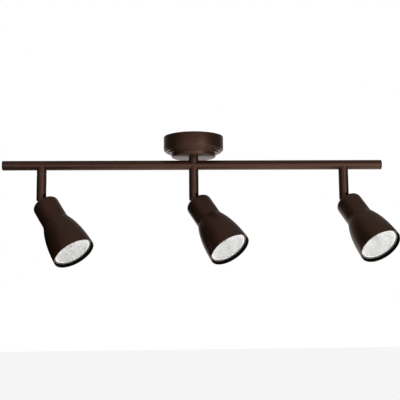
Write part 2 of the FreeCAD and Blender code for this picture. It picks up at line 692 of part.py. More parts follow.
def tongue(label, place):
    """The flat tongue that turns in the arm's slot, with a flange and threaded spigot."""
    body = new_body(label, place)
    round_end = ring(sketch_on(body, "XZ_Plane"), (0, 0), S.tongue_radius)
    raised(body, "Pad", round_end, S.tongue_width, "Symmetric")
    flange_top = along(-S.tongue_flange_height)
    straight = [(-S.tongue_radius, 0), (S.tongue_radius, 0), (S.tongue_radius, flange_top),
                (-S.tongue_radius, flange_top)]
    raised(body, "Pad", outline(sketch_on(body, "XZ_Plane"), straight), S.tongue_width, "Symmetric")
    flange = ring(sketch_on(body, "XY_Plane", along(0)), (0, 0), S.tongue_flange_radius)
    raised(body, "Pad", flange, S.tongue_flange_height)
    eased(body, rim_at(S.tongue_flange_radius, flange_top), S.flange_break)
    spigot = ring(sketch_on(body, "XY_Plane", along(S.tongue_spigot_length)), (0, 0), S.tongue_spigot)
    raised(body, "Pad", spigot, S.tongue_spigot_length + S.tongue_flange_height / 2)
    bore = ring(sketch_on(body, "XY_Plane", along(S.tongue_spigot_length)), (0, 0), S.tongue_bore)
    raised(body, "Pocket", bore, S.tongue_spigot_length + S.head_back - S.tongue_bore_top, reverse=True)
    cross = ring(sketch_on(body, "YZ_Plane"), (0, -S.tongue_cross_place), S.tongue_cross_hole)
    raised(body, "Pocket", cross, (S.tongue_radius + S.overrun) * 2, "Symmetric")
    pin = ring(sketch_on(body, "XZ_Plane"), (0, 0), S.tongue_hole)
    raised(body, "Pocket", pin, S.tongue_width * 2, "Symmetric")
    done(body)


def tongue_nut(label, place):
    """Hexagon nut and washer that clamp bracket and shade to the tongue."""
    top = along(S.shade_wall + S.bracket_wall)
    washer_foot = top - S.tongue_washer_height
    nut_foot = washer_foot - S.tongue_nut_height
    disc = primitive("Cylinder", f"{label}_disc", (0, 0, washer_foot),
                     Radius=S.tongue_washer_radius, Height=S.tongue_washer_height)
    prism = hexagon(f"{label}_prism", S.tongue_nut_flats, S.tongue_nut_height, nut_foot)
    thread = primitive("Cylinder", f"{label}_thread", (0, 0, nut_foot - S.overrun),
                       Radius=S.tongue_spigot + S.thread_gap, Height=top - nut_foot + S.overrun * 2)
    item = group(label, [cut(f"{label}_washer", disc, thread), cut(f"{label}_hexagon", prism, thread)])
    item.Placement = place
    done(item)


def shade(label, place):
    """The spun bell: flat back, straight neck, and a flare to the open rim."""
    wall = S.shade_wall
    opening = S.rim_radius - S.rim_wall
    waist = along(S.neck_length + wall / 4)
    corners = [
        (S.shade_hole, along(0)), (S.neck_radius, along(0)), (S.neck_radius, along(S.neck_length)),
        (S.rim_radius, along(S.shade_length)), (opening, along(S.shade_length)),
        (S.neck_radius - wall, waist), (S.neck_radius - wall, along(wall)),
        (S.shade_hole, along(wall)),
    ]
    outer_control = (S.flare_control_radius, along(S.flare_control_place))
    inner_control = (S.flare_control_radius - wall, along(S.flare_control_place + wall * 0.4))
    body = new_body(label, place)
    turned(body, "Revolution",
           outline(sketch_on(body, "XZ_Plane"), corners, {2: outer_control, 4: inner_control}))
    eased(body, rim_at(S.neck_radius, along(0)), S.neck_back_edge)
    eased(body, rim_at(S.neck_radius - wall, along(wall)), S.neck_back_edge - wall)
    eased(body, rim_at(S.neck_radius, along(S.neck_length)), S.neck_waist_edge)
    eased(body, rim_at(S.neck_radius - wall, waist), S.neck_waist_edge)
    eased(body, rim_at(S.rim_radius, along(S.shade_length)), S.rim_break)
    eased(body, rim_at(opening, along(S.shade_length)), S.rim_break)
    done(body)


def holder_bracket(label, place):
    """The folded steel bracket between the shade's back and the lampholder."""
    half = S.bracket_half_length
    thick = S.bracket_wall
    back = along(S.shade_wall)
    front = along(S.holder_back)
    tab = half - S.bracket_tab
    corners = [(-half, back), (half, back), (half, front), (tab, front), (tab, front + thick),
               (half - thick, front + thick), (half - thick, back - thick), (thick - half, back - thick),
               (thick - half, front + thick), (-tab, front + thick), (-tab, front), (-half, front)]
    body = new_body(label, place)
    raised(body, "Pad", outline(sketch_on(body, "YZ_Plane"), corners), S.bracket_width, "Symmetric")
    eased(body, lambda edge: edge.BoundBox.XLength > 1
          and abs(abs(edge.BoundBox.Center.y) - half.value) < 1e-3, S.bracket_bend)
    hole = ring(sketch_on(body, "XY_Plane"), (0, 0), S.shade_hole)
    raised(body, "Pocket", hole, S.head_back + S.holder_back / 2)
    taps = sketch_on(body, "XY_Plane", along(S.holder_back / 2))
    for side in (-1, 1):
        ring(taps, (0, S.holder_screw_place * side), S.holder_screw_radius + S.tapped_gap)
    raised(body, "Pocket", taps, S.holder_back)
    done(body)


def holder_screws(label, place):
    """Two cheese-head screws from the lampholder's face into the bracket's tabs."""
    screws = []
    for side, name in ((-1, "near"), (1, "far")):
        seat = S.holder_front - S.holder_well_depth
        screw = slotted_screw(f"{label}_{name}", S.holder_head_radius, S.holder_head_height,
                              S.holder_screw_radius, seat - S.holder_back + S.bracket_wall * 2)
        screw.Placement.Rotation = FreeCAD.Rotation(Vector(1, 0, 0), 180)
        bind(screw, "Placement.Base.y", S.holder_screw_place * side)
        bind(screw, "Placement.Base.z", along(seat))
        screws.append(screw)
    item = group(label, screws)
    item.Placement = place
    done(item)


def lampholder(label, place):
    """The ceramic bayonet lampholder with its two curved keyholes."""
    body = new_body(label, place)
    front = along(S.holder_front)
    back = along(S.holder_back)
    corners = [(0, front), (S.holder_radius, front), (S.holder_radius, back), (0, back)]
    turned(body, "Revolution", outline(sketch_on(body, "XZ_Plane"), corners))
    eased(body, rim_at(S.holder_radius, front), S.holder_edge)
    under = front + S.key_plate
    deep = front + S.key_depth
    cuts = (
        (S.key_neck_radius, front - S.overrun, under + S.edge_break, S.key_neck_over),
        (S.key_head_radius, under, deep, S.key_head_over),
    )
    for radius, low, high, over in cuts:
        section = [(S.pin_place - radius, low), (S.pin_place + radius, low),
                   (S.pin_place + radius, high), (S.pin_place - radius, high)]
        slot = turned(body, "Groove", outline(sketch_on(body, "XZ_Plane"), section), S.key_twist, over)
        patterned(body, "PolarPattern", slot, "V_Axis", Angle=360.0, Occurrences=2)
    turn = math.radians(S.key_twist.value)
    entry = sketch_on(body, "XY_Plane", front - S.overrun)
    for side in (-1, 1):
        spot = (S.pin_place * (math.cos(turn) * side), S.pin_place * (math.sin(turn) * side))
        ring(entry, spot, S.key_head_radius)
    raised(body, "Pocket", entry, S.key_depth + S.overrun, reverse=True)
    wells = sketch_on(body, "XY_Plane", front - S.overrun)
    shanks = sketch_on(body, "XY_Plane", front - S.overrun)
    ways = sketch_on(body, "XY_Plane", back + S.overrun)
    for side in (-1, 1):
        ring(wells, (0, S.holder_screw_place * side), S.holder_well_radius)
        ring(shanks, (0, S.holder_screw_place * side), S.holder_hole)
        ring(ways, (S.pin_place * side, 0), S.lead_radius + S.lead_way_gap)
    raised(body, "Pocket", wells, S.holder_well_depth + S.overrun, reverse=True)
    raised(body, "Pocket", shanks, S.holder_front - S.holder_back + S.overrun * 2, reverse=True)
    raised(body, "Pocket", ways, S.holder_way_depth)
    done(body)


# ---------------------------------------------------------------- bayonet lamp

def lamp_base(label, place):
    """The lamp's white ceramic base, stepped in where the bowl is cemented."""
    back = along(S.lamp_back)
    front = along(S.lamp_back + S.lamp_base_length)
    seat = front + S.lamp_wall * 2
    hole = S.burner_hole
    corners = [(0, back), (S.lamp_base_radius, back), (S.lamp_base_radius, front), (hole, front),
               (hole, seat), (0, seat)]
    body = new_body(label, place)
    turned(body, "Revolution", outline(sketch_on(body, "XZ_Plane"), corners))
    eased(body, rim_at(S.lamp_base_radius, back), S.lamp_base_edge)
    done(body)


def lamp_pins(label, place):
    """The two headed contact pins on the back of the lamp."""
    pins = []
    foot = along(S.lamp_back)
    for side, name in ((-1, "near"), (1, "far")):
        neck = primitive("Cylinder", f"{label}_{name}_neck", (S.pin_place * side, 0, foot),
                         Radius=S.pin_radius, Height=S.pin_length)
        head = primitive("Cylinder", f"{label}_{name}_head",
                         (S.pin_place * side, 0, foot + S.pin_length - S.pin_head_height),
                         Radius=S.pin_head_radius, Height=S.pin_head_height)
        pins.append(fused(f"{label}_{name}", neck, head))
    item = group(label, pins)
    item.Placement = place
    done(item)


def lamp_reflector(label, place):
    """The pressed glass bowl: a cylindrical rim and a rounded cone to the base."""
    front = along(S.lamp_front)
    shoulder = front + S.lamp_rim_height
    throat = along(S.lamp_back + S.lamp_base_length)
    seat = front + S.lamp_glass_height
    wall = S.lamp_wall
    lip = S.lamp_glass_radius - S.lamp_seat_lap
    glass = S.lamp_glass_radius + S.lamp_glass_gap
    corners = [
        (S.burner_hole, throat), (S.lamp_throat_radius, throat), (S.lamp_radius, shoulder),
        (S.lamp_radius, front), (glass, front), (glass, seat), (lip, seat), (lip, shoulder),
        (S.burner_hole + wall, throat - wall), (S.burner_hole, throat - wall),
    ]
    outer_control = (S.lamp_radius - wall, along(S.lamp_bowl_control))
    inner_control = (lip - wall * 2, along(S.lamp_bowl_control) - wall)
    body = new_body(label, place)
    turned(body, "Revolution",
           outline(sketch_on(body, "XZ_Plane"), corners, {1: outer_control, 7: inner_control}))
    done(body)


def lamp_glass(label, place):
    """The clear front disc in the bowl's rim."""
    front = along(S.lamp_front)
    body = new_body(label, place)
    disc = ring(sketch_on(body, "XY_Plane", front), (0, 0), S.lamp_glass_radius)
    raised(body, "Pad", disc, S.lamp_glass_height)
    eased(body, rim_at(S.lamp_glass_radius, front), S.lamp_glass_edge)
    done(body)


def lamp_burner(label, place):
    """The quartz capsule on the lamp's axis, round at its front end."""
    seat = along(S.lamp_back + S.lamp_base_length) + S.lamp_wall * 2
    tip = seat - S.burner_length
    corners = [(0, seat), (S.burner_radius, seat), (S.burner_radius, tip), (0, tip)]
    body = new_body(label, place)
    turned(body, "Revolution", outline(sketch_on(body, "XZ_Plane"), corners))
    eased(body, rim_at(S.burner_radius, tip), S.burner_radius - S.burner_tip_flat)
    done(body)


# ---------------------------------------------------------------- leads

def lead(points, radius):
    """A round lead along straight runs joined by tangent arcs."""
    places = [Vector(*point) for point in points]
    edges = []
    start = places[0]
    for before, corner, after in zip(places, places[1:], places[2:]):
        back = (before - corner).normalize()
        ahead = (after - corner).normalize()
        turn = math.pi - back.getAngle(ahead)
        run = min((before - corner).Length, (after - corner).Length)
        reach = min(0.45 * run, 6 * radius * math.tan(turn / 2))
        bend = reach / math.tan(turn / 2)
        arc_start = corner + back * reach
        arc_end = corner + ahead * reach
        centre = corner + (back + ahead).normalize() * (bend / math.cos(turn / 2))
        middle = centre + (corner - centre).normalize() * bend
        edges.append(Part.LineSegment(start, arc_start).toShape())
        edges.append(Part.Arc(arc_start, middle, arc_end).toShape())
        start = arc_end
    edges.append(Part.LineSegment(start, places[-1]).toShape())
    path = Part.Wire(edges)
    disc = Part.Wire(Part.makeCircle(radius, places[0], places[1] - places[0]))
    return path.makePipeShell([disc], True, True)


def made_from(label, solids, place=None):
    """Keeps swept solids as one sub-part."""
    item = DOC.addObject("Part::Feature", label)
    item.Label = label
    item.Shape = Part.makeCompound(solids)
    if place:
        item.Placement = place
    done(item)


def supply_leads():
    """Three pairs from the terminal block through stem and bar to the arms, and the earth."""
    radius = S.lead_radius.value
    tunnel = tunnel_height().value
    front = -S.block_width.value / 2
    entry = front + S.lead_entry.value
    mouth = S.stem_spigot_length.value - S.canopy_base_depth.value
    run = S.lead_run_height.value - S.bar_drop.value
    foot = S.slot_radius.value - S.pivot_drop.value + S.lead_foot_gap.value
    poles = ((-1, S.lead_front_lower, S.lead_rise_lower), (1, S.lead_front_upper, S.lead_rise_upper))
    solids = []
    for pole, reach, lift in poles:
        level = pole * S.lead_offset.value
        bend = front - reach.value
        rise = mouth + lift.value
        for arm in (-1, 0, 1):
            start = pole * S.pole_spacing.value + arm * S.lead_fan.value
            down = arm * S.lead_row.value
            points = [(start, entry, tunnel), (start, bend, tunnel), (start, bend, rise), (down, level, rise)]
            if arm:
                here = arm * S.arm_spacing.value
                points += [(down, level, run), (here, level, run), (here, level, foot)]
            else:
                points += [(down, level, foot)]
            solids.append(lead(points, radius))
    clamp = -(S.strap_thickness + S.earth_head_height).value - radius
    place = S.earth_screw_place.value
    bend = front - S.earth_front.value
    earth = [(0, entry, tunnel), (0, bend, tunnel), (place, bend, clamp),
             (place, -S.earth_head_radius.value / 2, clamp)]
    solids.append(lead(earth, radius))
    made_from("supply_leads", solids)


def head_leads(label, place):
    """The pair from the tongue's bore to the back of the lampholder."""
    start = -S.tongue_cross_place.value
    split = along(S.head_lead_split).value
    join = along(S.head_lead_join).value
    end = along(S.holder_back + S.head_lead_sink).value
    solids = []
    for side in (-1, 1):
        near = side * S.head_lead_offset.value
        far = side * S.pin_place.value
        points = [(near, 0, start), (near, 0, split), (far, 0, join), (far, 0, end)]
        solids.append(lead(points, S.lead_radius.value))
    made_from(label, solids, place)


# ---------------------------------------------------------------- assembly

# Each spot: name, bar end, heading about Z from +X and lift from straight down, in degrees.
SPOTS = (
    ("left", -1, -36.6, 38.8),
    ("middle", 0, -47.6, 41.6),
    ("right", 1, -63.5, 43.4),
)


def spot(name, side, heading, lift):
    """Builds one arm with its head and lamp at its resting aim."""
    turn = FreeCAD.Rotation(Vector(0, 0, 1), heading)
    tilt = FreeCAD.Rotation(Vector(0, 1, 0), -lift)
    here = S.arm_spacing.value * side
    arm_place = FreeCAD.Placement(Vector(here, 0, 0), turn)
    head_place = FreeCAD.Placement(Vector(here, 0, -S.pivot_drop.value), turn.multiply(tilt))
    for make in (arm_tube, swivel_nipple, swivel_nut, pivot_screw):
        make(f"{name}_{make.__name__}", arm_place)
    for make in (tongue, tongue_nut, shade, holder_bracket, holder_screws, lampholder, head_leads,
                 lamp_base, lamp_pins, lamp_reflector, lamp_glass, lamp_burner):
        make(f"{name}_{make.__name__}", head_place)


def check_document():
    """Stops if any object failed or any sub-part is empty or broken."""
    DOC.recompute()
    for item in DOC.Objects:
        if {"Invalid", "Error"} & set(item.State):
            raise RuntimeError(f"{item.Label} failed: {item.State}")
    for item in SUBPARTS:
        if item.Shape.isNull() or not item.Shape.isValid() or not item.Shape.Solids:
            raise RuntimeError(f"{item.Label} has no sound solid")


def write_parts():
    """Writes each sub-part's shape to its own file."""
    os.makedirs("parts", exist_ok=True)
    for item in SUBPARTS:
        item.Shape.exportStep(f"parts/{item.Label}.step")
        print(f"{item.Label}: {len(item.Shape.Solids)} solid(s), {item.Shape.Volume:.0f} mm3")


canopy()
ceiling_strap()
canopy_side_screws()
terminal_block()
terminal_screws()
earth_screw()
stem()
stem_nut()
bar_tube()
bar_end_plugs()
arm_collars()
supply_leads()
for spot_settings in SPOTS:
    spot(*spot_settings)
check_document()
write_parts()
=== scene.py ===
"""Studio scene of a ceiling spot bar: canopy, stem, bar and three adjustable spot heads.

The CAD model is the fixed frame. The classes below dress its nodes with their finishes and
stand finer pieces in for the canopy, the shades and the lamps.
Lengths are metres, +Z is up, +X runs along the bar and -Y is the room's side.
"""

import json
import logging
import math
from dataclasses import dataclass, field
from enum import Enum
from typing import Any, Callable, Iterable

import bpy
from mathutils import Matrix, Vector


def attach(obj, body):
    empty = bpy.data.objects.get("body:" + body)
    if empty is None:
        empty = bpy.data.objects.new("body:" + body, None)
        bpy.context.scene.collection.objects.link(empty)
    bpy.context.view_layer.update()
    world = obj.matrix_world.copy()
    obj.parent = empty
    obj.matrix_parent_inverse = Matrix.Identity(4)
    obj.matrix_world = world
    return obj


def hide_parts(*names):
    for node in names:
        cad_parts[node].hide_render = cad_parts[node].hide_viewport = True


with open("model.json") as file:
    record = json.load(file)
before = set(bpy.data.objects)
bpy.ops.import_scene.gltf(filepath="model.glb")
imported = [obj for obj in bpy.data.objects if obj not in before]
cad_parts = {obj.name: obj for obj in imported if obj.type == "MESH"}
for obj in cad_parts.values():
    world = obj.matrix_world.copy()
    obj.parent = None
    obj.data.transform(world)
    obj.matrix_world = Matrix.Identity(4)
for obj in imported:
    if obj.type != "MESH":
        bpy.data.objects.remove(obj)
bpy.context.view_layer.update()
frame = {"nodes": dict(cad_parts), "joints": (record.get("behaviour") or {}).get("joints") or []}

MM = 0.001
LOG = logging.getLogger("spot_bar")

Colour = tuple[float, float, float]
Tones = tuple[tuple[float, float], ...]
WHITE: Colour = (1.0, 1.0, 1.0)


# ------------------------------------------------------------------ shader wiring

class Wire:
    """One output socket of a node tree, with arithmetic on it."""

    def __init__(self, graph: "Graph", socket: bpy.types.NodeSocket) -> None:
        """Keeps the graph and the socket."""
        self.graph = graph
        self.socket = socket

    def _math(self, operation: str, *values: Any) -> "Wire":
        """Adds one Math node over the values."""
        return self.graph.add("ShaderNodeMath", {"operation": operation}, *values)

    def __add__(self, other: Any) -> "Wire":
        """Sum."""
        return self._math("ADD", self, other)

    def __radd__(self, other: Any) -> "Wire":
        """Sum with the wire on the right."""
        return self._math("ADD", other, self)

    def __sub__(self, other: Any) -> "Wire":
        """Difference."""
        return self._math("SUBTRACT", self, other)

    def __rsub__(self, other: Any) -> "Wire":
        """Difference with the wire on the right."""
        return self._math("SUBTRACT", other, self)

    def __mul__(self, other: Any) -> "Wire":
        """Product."""
        return self._math("MULTIPLY", self, other)

    def __rmul__(self, other: Any) -> "Wire":
        """Product with the wire on the right."""
        return self._math("MULTIPLY", other, self)


class Graph:
    """The node tree of a material or of the world."""

    def __init__(self, owner: bpy.types.Material | bpy.types.World) -> None:
        """Empties the owner's tree.

        Args:
            owner: The material or world that is built.
        """
        self.owner = owner
        owner.use_nodes = True
        self.tree = owner.node_tree
        self.tree.nodes.clear()

    @classmethod
    def material(cls, name: str) -> "Graph":
        """Starts an empty material."""
        return cls(bpy.data.materials.new(name))

    def add(self, kind: str, settings: dict[str, Any] | None = None, *values: Any,
            out: str | int = 0, **sockets: Any) -> Wire | None:
        """Adds a node, sets it up and joins its inputs.

        Args:
            kind: The node's type.
            settings: Properties set before any socket; "stops" fills a colour ramp.
            values: Numbers or wires for the first inputs, in order.
            out: The output that is returned.
            sockets: Numbers or wires by socket name, with spaces as underscores.

        Returns:
            The chosen output, or None for a node that has none.
        """
        node = self.tree.nodes.new(kind)
        for key, value in (settings or {}).items():
            if key == "stops":
                self._fill_ramp(node.color_ramp, value)
            else:
                setattr(node, key, value)
        named = [(key.replace("_", " "), value) for key, value in sockets.items()]
        for key, value in [*enumerate(values), *named]:
            if isinstance(value, Wire):
                self.tree.links.new(value.socket, node.inputs[key])
            else:
                node.inputs[key].default_value = value
        return Wire(self, node.outputs[out]) if node.outputs else None

    @staticmethod
    def _fill_ramp(ramp: bpy.types.ColorRamp, stops: Iterable[tuple[float, Colour]]) -> None:
        """Sets a ramp's stops.

        Args:
            ramp: The ramp of a Color Ramp node.
            stops: Place and colour of each stop.
        """
        for index, (place, colour) in enumerate(stops):
            stop = ramp.elements[index] if index < 2 else ramp.elements.new(place)
            stop.position = place
            stop.color = (*colour, 1.0)

    def place(self) -> Wire:
        """Gives the Object coordinates."""
        return self.add("ShaderNodeTexCoord", out="Object")

    def noise(self, scale: float, detail: float = 2.0,
              stretch: tuple[float, float, float] = (1.0, 1.0, 1.0)) -> Wire:
        """Gives a noise value about 0.5.

        Args:
            scale: Blotches in a metre.
            detail: Octaves.
            stretch: Factor on each coordinate.

        Returns:
            The noise factor.
        """
        place = self.add("ShaderNodeVectorMath", {"operation": "MULTIPLY"}, self.place(), stretch)
        return self.add("ShaderNodeTexNoise", {}, Vector=place, Scale=scale, Detail=detail)

    def cells(self, feature: str, size: float) -> Wire:
        """Gives one feature of a pattern of cells of a size."""
        return self.add("ShaderNodeTexVoronoi", {"feature": feature},
                        Vector=self.place(), Scale=1.0 / size)

    def ramp(self, value: Wire, stops: Iterable[tuple[float, Colour]]) -> Wire:
        """Gives the colour that the stops have at the value."""
        return self.add("ShaderNodeValToRGB", {"stops": list(stops)}, value)

    def toned(self, mask: Wire, colour: Colour, tones: Tones) -> Wire:
        """Makes a colour darker and lighter by a mask.

        Args:
            mask: The value that picks the tone.
            colour: The colour.
            tones: Places on the mask, each with the factor on the colour there.

        Returns:
            The toned colour.
        """
        return self.ramp(mask, [(place, shade_of(colour, factor)) for place, factor in tones])

    def bump(self, height: Wire, distance: float, strength: float = 1.0) -> Wire:
        """Gives normals raised by the height, whose full range is the distance."""
        return self.add("ShaderNodeBump", {}, Height=height, Distance=distance, Strength=strength)

    def surface(self, **sockets: Any) -> bpy.types.Material:
        """Joins a Principled shader to the output.

        Args:
            sockets: The shader's sockets, with spaces as underscores.

        Returns:
            The finished material.
        """
        shader = self.add("ShaderNodeBsdfPrincipled", {}, **sockets)
        self.add("ShaderNodeOutputMaterial", {}, shader)
        return self.owner


def shade_of(colour: Colour, factor: float) -> Colour:
    """Gives a lighter or darker version of a colour."""
    return tuple(min(1.0, channel * factor) for channel in colour)


# ------------------------------------------------------------------ finishes

@dataclass(frozen=True)
class PowderCoat:
    """Satin metallic bronze paint with a fine orange peel under a clear coat."""

    colour: Colour = (0.100, 0.0435, 0.026)
    tones: Tones = ((0.32, 0.86), (0.68, 1.14))
    metal: float = 0.70
    gloss: float = 0.5
    roughness: float = 0.36
    unevenness: float = 0.10
    coat: float = 0.2
    coat_roughness: float = 0.22
    cloud_scale: float = 38.0
    flake_scale: float = 2240.0
    flake_share: float = 0.3
    peel_scale: float = 1400.0
    peel_height: float = 0.03 * MM
    peel_strength: float = 0.35

    def material(self, name: str) -> bpy.types.Material:
        """Builds the material.

        Args:
            name: The material's name.

        Returns:
            The material.
        """
        graph = Graph.material(name)
        cloud = graph.noise(self.cloud_scale, detail=3.0)
        flake = graph.noise(self.flake_scale, detail=1.0)
        peel = graph.noise(self.peel_scale)
        fleck = cloud * (1 - self.flake_share) + flake * self.flake_share
        return graph.surface(
            Base_Color=graph.toned(fleck, self.colour, self.tones),
            Metallic=self.metal,
            Roughness=self.roughness + cloud * self.unevenness,
            Specular_IOR_Level=self.gloss,
            Coat_Weight=self.coat,
            Coat_Roughness=self.coat_roughness,
            Normal=graph.bump(peel, self.peel_height, self.peel_strength),
        )


@dataclass(frozen=True)
class Plated:
    """Plated or turned metal with drawn lines; its roughness is that of its brightest spots."""

    colour: Colour
    roughness: float
    unevenness: float = 0.14
    tones: Tones = ((0.3, 0.82), (0.7, 1.08))
    cloud_scale: float = 160.0
    line_scale: float = 900.0
    line_stretch: tuple[float, float, float] = (0.08, 1.0, 1.0)
    line_height: float = 0.01 * MM
    line_strength: float = 0.5

    def material(self, name: str) -> bpy.types.Material:
        """Builds the material.

        Args:
            name: The material's name.

        Returns:
            The material.
        """
        graph = Graph.material(name)
        cloud = graph.noise(self.cloud_scale, detail=3.0)
        lines = graph.noise(self.line_scale, stretch=self.line_stretch)
        return graph.surface(
            Base_Color=graph.toned(cloud, self.colour, self.tones),
            Metallic=1.0,
            Roughness=self.roughness + lines * self.unevenness,
            Normal=graph.bump(lines, self.line_height, self.line_strength),
        )


@dataclass(frozen=True)
class Moulded:
    """Moulded plastic or pressed glass with a fine grain."""

    colour: Colour
    roughness: float
    unevenness: float = 0.1
    tones: Tones = ((0.35, 0.9), (0.65, 1.08))
    cloud_scale: float = 90.0
    grain_scale: float = 2600.0
    grain_height: float = 0.02 * MM
    grain_strength: float = 0.5

    def material(self, name: str) -> bpy.types.Material:
        """Builds the material.

        Args:
            name: The material's name.

        Returns:
            The material.
        """
        graph = Graph.material(name)
        grain = graph.noise(self.grain_scale)
        cloud = graph.noise(self.cloud_scale)
        return graph.surface(
            Base_Color=graph.toned(cloud, self.colour, self.tones),
            Roughness=self.roughness + grain * self.unevenness,
            Normal=graph.bump(grain, self.grain_height, self.grain_strength),
        )


@dataclass(frozen=True)
class Ceramic:
    """Pressed ceramic, slightly speckled and matt."""

    colour: Colour
    roughness: float
    unevenness: float = 0.1
    tones: Tones = ((0.3, 0.88), (0.55, 1.03))
    speck_scale: float = 1900.0
    speck_height: float = 0.03 * MM
    speck_strength: float = 0.4

    def material(self, name: str) -> bpy.types.Material:
        """Builds the material.

        Args:
            name: The material's name.

        Returns:
            The material.
        """
        graph = Graph.material(name)
        speck = graph.noise(self.speck_scale, detail=3.0)
        return graph.surface(
            Base_Color=graph.toned(speck, self.colour, self.tones),
            Roughness=self.roughness + speck * self.unevenness,
            Normal=graph.bump(speck, self.speck_height, self.speck_strength),
        )


@dataclass(frozen=True)
class Braid:
    """Varnished glass-fibre sleeve with a fine crossed weave."""

    colour: Colour
    roughness: float = 0.6
    tones: Tones = ((0.1, 1.0), (0.7, 0.75))
    pitch: float = 0.5 * MM
    weave_height: float = 0.05 * MM
    weave_strength: float = 0.6

    def material(self, name: str) -> bpy.types.Material:
        """Builds the material.

        Args:
            name: The material's name.

        Returns:
            The material.
        """
        graph = Graph.material(name)
        weave = graph.cells("SMOOTH_F1", self.pitch)
        return graph.surface(
            Base_Color=graph.toned(weave, self.colour, self.tones),
            Roughness=self.roughness,
            Normal=graph.bump(1 - weave, self.weave_height, self.weave_strength),
        )


@dataclass(frozen=True)
class Mirror:
    """Aluminised, hammered reflector glass; its glow and glints are painted light, standing in
    for the bright surroundings that it reflects.
    """

    colour: Colour = (0.90, 0.89, 0.88)
    tones: Tones = ((0.35, 0.72), (0.65, 1.0))
    roughness: float = 0.10
    unevenness: float = 0.12
    haze_scale: float = 420.0
    hammer: float = 3.4 * MM
    hammer_height: float = 0.3 * MM
    hammer_strength: float = 0.6
    # Painted light: the mirror glows although the lamp is not lit, as a painted reflection of its
    # bright surroundings.
    glow: float = 0.58
    glints: Tones = ((0.34, 0.30), (0.56, 0.72), (0.92, 1.0))
    glint_from_hammer: float = 2.2
    glint_from_streak: float = 0.6
    streak_scale: float = 110.0

    def material(self, name: str) -> bpy.types.Material:
        """Builds the material.

        Args:
            name: The material's name.

        Returns:
            The material.
        """
        graph = Graph.material(name)
        haze = graph.noise(self.haze_scale)
        seams = graph.cells("DISTANCE_TO_EDGE", self.hammer)
        painted_streak = graph.noise(self.streak_scale, detail=4.0)
        # Painted glints: brighter emission along the dimples' seams and in streaks, a painted
        # reflection.
        painted_glint = seams * self.glint_from_hammer + painted_streak * self.glint_from_streak
        return graph.surface(
            Base_Color=graph.toned(haze, self.colour, self.tones),
            Metallic=1.0,
            Roughness=self.roughness + haze * self.unevenness,
            Emission_Color=graph.toned(painted_glint, self.colour, self.glints),
            Emission_Strength=self.glow,
            Normal=graph.bump(seams, self.hammer_height, self.hammer_strength),
        )


@dataclass(frozen=True)
class Glass:
    """Clear or frosted glass with a faint wave."""

    colour: Colour = (0.97, 0.98, 0.98)
    frost: float = 0.02
    unevenness: float = 0.03
    tones: Tones = ((0.3, 0.97), (0.7, 1.0))
    refraction: float = 1.5
    wave_scale: float = 260.0
    wave_height: float = 0.02 * MM
    wave_strength: float = 0.4

    def material(self, name: str) -> bpy.types.Material:
        """Builds the material.

        Args:
            name: The material's name.

        Returns:
            The material.
        """
        graph = Graph.material(name)
        wave = graph.noise(self.wave_scale)
        return graph.surface(
            Base_Color=graph.toned(wave, self.colour, self.tones),
            Roughness=self.frost + wave * self.unevenness,
            IOR=self.refraction,
            Transmission_Weight=1.0,
            Normal=graph.bump(wave, self.wave_height, self.wave_strength),
        )


@dataclass(frozen=True)
class PaleFloor:
    """Pale, matt floor that mostly lights itself, so that no card's shadow shows on it."""

    tones: Tones = ((0.3, 0.22), (0.7, 0.26))
    cloud_scale: float = 3.0
    roughness: float = 0.9
    glow: float = 0.85

    def material(self, name: str) -> bpy.types.Material:
        """Builds the material.

        Args:
            name: The material's name.

        Returns:
            The material.
        """
        graph = Graph.material(name)
        return graph.surface(
            Base_Color=graph.toned(graph.noise(self.cloud_scale), WHITE, self.tones),
            Roughness=self.roughness,
            Emission_Color=(*WHITE, 1.0),
            Emission_Strength=self.glow,
        )


@dataclass(frozen=True)
class BlackFelt:
    """Black felt that reflects next to nothing."""

    tones: Tones = ((0.3, 0.004), (0.7, 0.008))
    nap_scale: float = 60.0

    def material(self, name: str) -> bpy.types.Material:
        """Builds the material.

        Args:
            name: The material's name.

        Returns:
            The material.
        """
        graph = Graph.material(name)
        return graph.surface(
            Base_Color=graph.toned(graph.noise(self.nap_scale), WHITE, self.tones),
            Roughness=1.0,
            Specular_IOR_Level=0.0,
        )


class Finish(Enum):
    """Each material slot of the record with the finish that it takes."""

    bronze_paint = PowderCoat()
    bronze_screw = Plated((0.055, 0.040, 0.034), 0.28)
    black_plastic = Moulded((0.014, 0.012, 0.011), 0.37)
    zinc_steel = Plated((0.56, 0.56, 0.54), 0.30)
    zinc_screw = Plated((0.62, 0.61, 0.57), 0.20)
    brass_screw = Plated((0.78, 0.58, 0.26), 0.16)
    terminal_plastic = Moulded((0.80, 0.79, 0.74), 0.40)
    lead_insulation = Moulded((0.72, 0.72, 0.70), 0.35)
    lead_sleeve = Braid((0.86, 0.84, 0.78))
    holder_ceramic = Ceramic((0.80, 0.78, 0.71), 0.6)
    lamp_ceramic = Ceramic((0.87, 0.86, 0.83), 0.4)
    pin_metal = Plated((0.70, 0.69, 0.66), 0.19)
    reflector_mirror = Mirror()
    lamp_glass = Glass()
    quartz_glass = Glass((0.95, 0.95, 0.94), 0.25)

    def made(self) -> bpy.types.Material:
        """Gives this finish's material, built the first time it is asked for."""
        name = f"{self.name}_finish"
        return bpy.data.materials.get(name) or self.value.material(name)


# ------------------------------------------------------------------ modelling

SHADE_BACK = 10.0 * MM  # from the tilt pivot to the shade's back
LEVEL = 0.001 * MM  # a ring's corners differ by less than this
WELD = 0.002 * MM
NEAR = 0.02 * MM
HOLE_SIDES = 32
THROUGH = 1.5  # length of a drill over the piece's width


class Spot(Enum):
    """The three spots along the bar."""

    LEFT = "left"
    MIDDLE = "middle"
    RIGHT = "right"


class Pick(Enum):
    """What is picked in edit mode."""

    RINGS = "EDGE"
    FACES = "FACE"


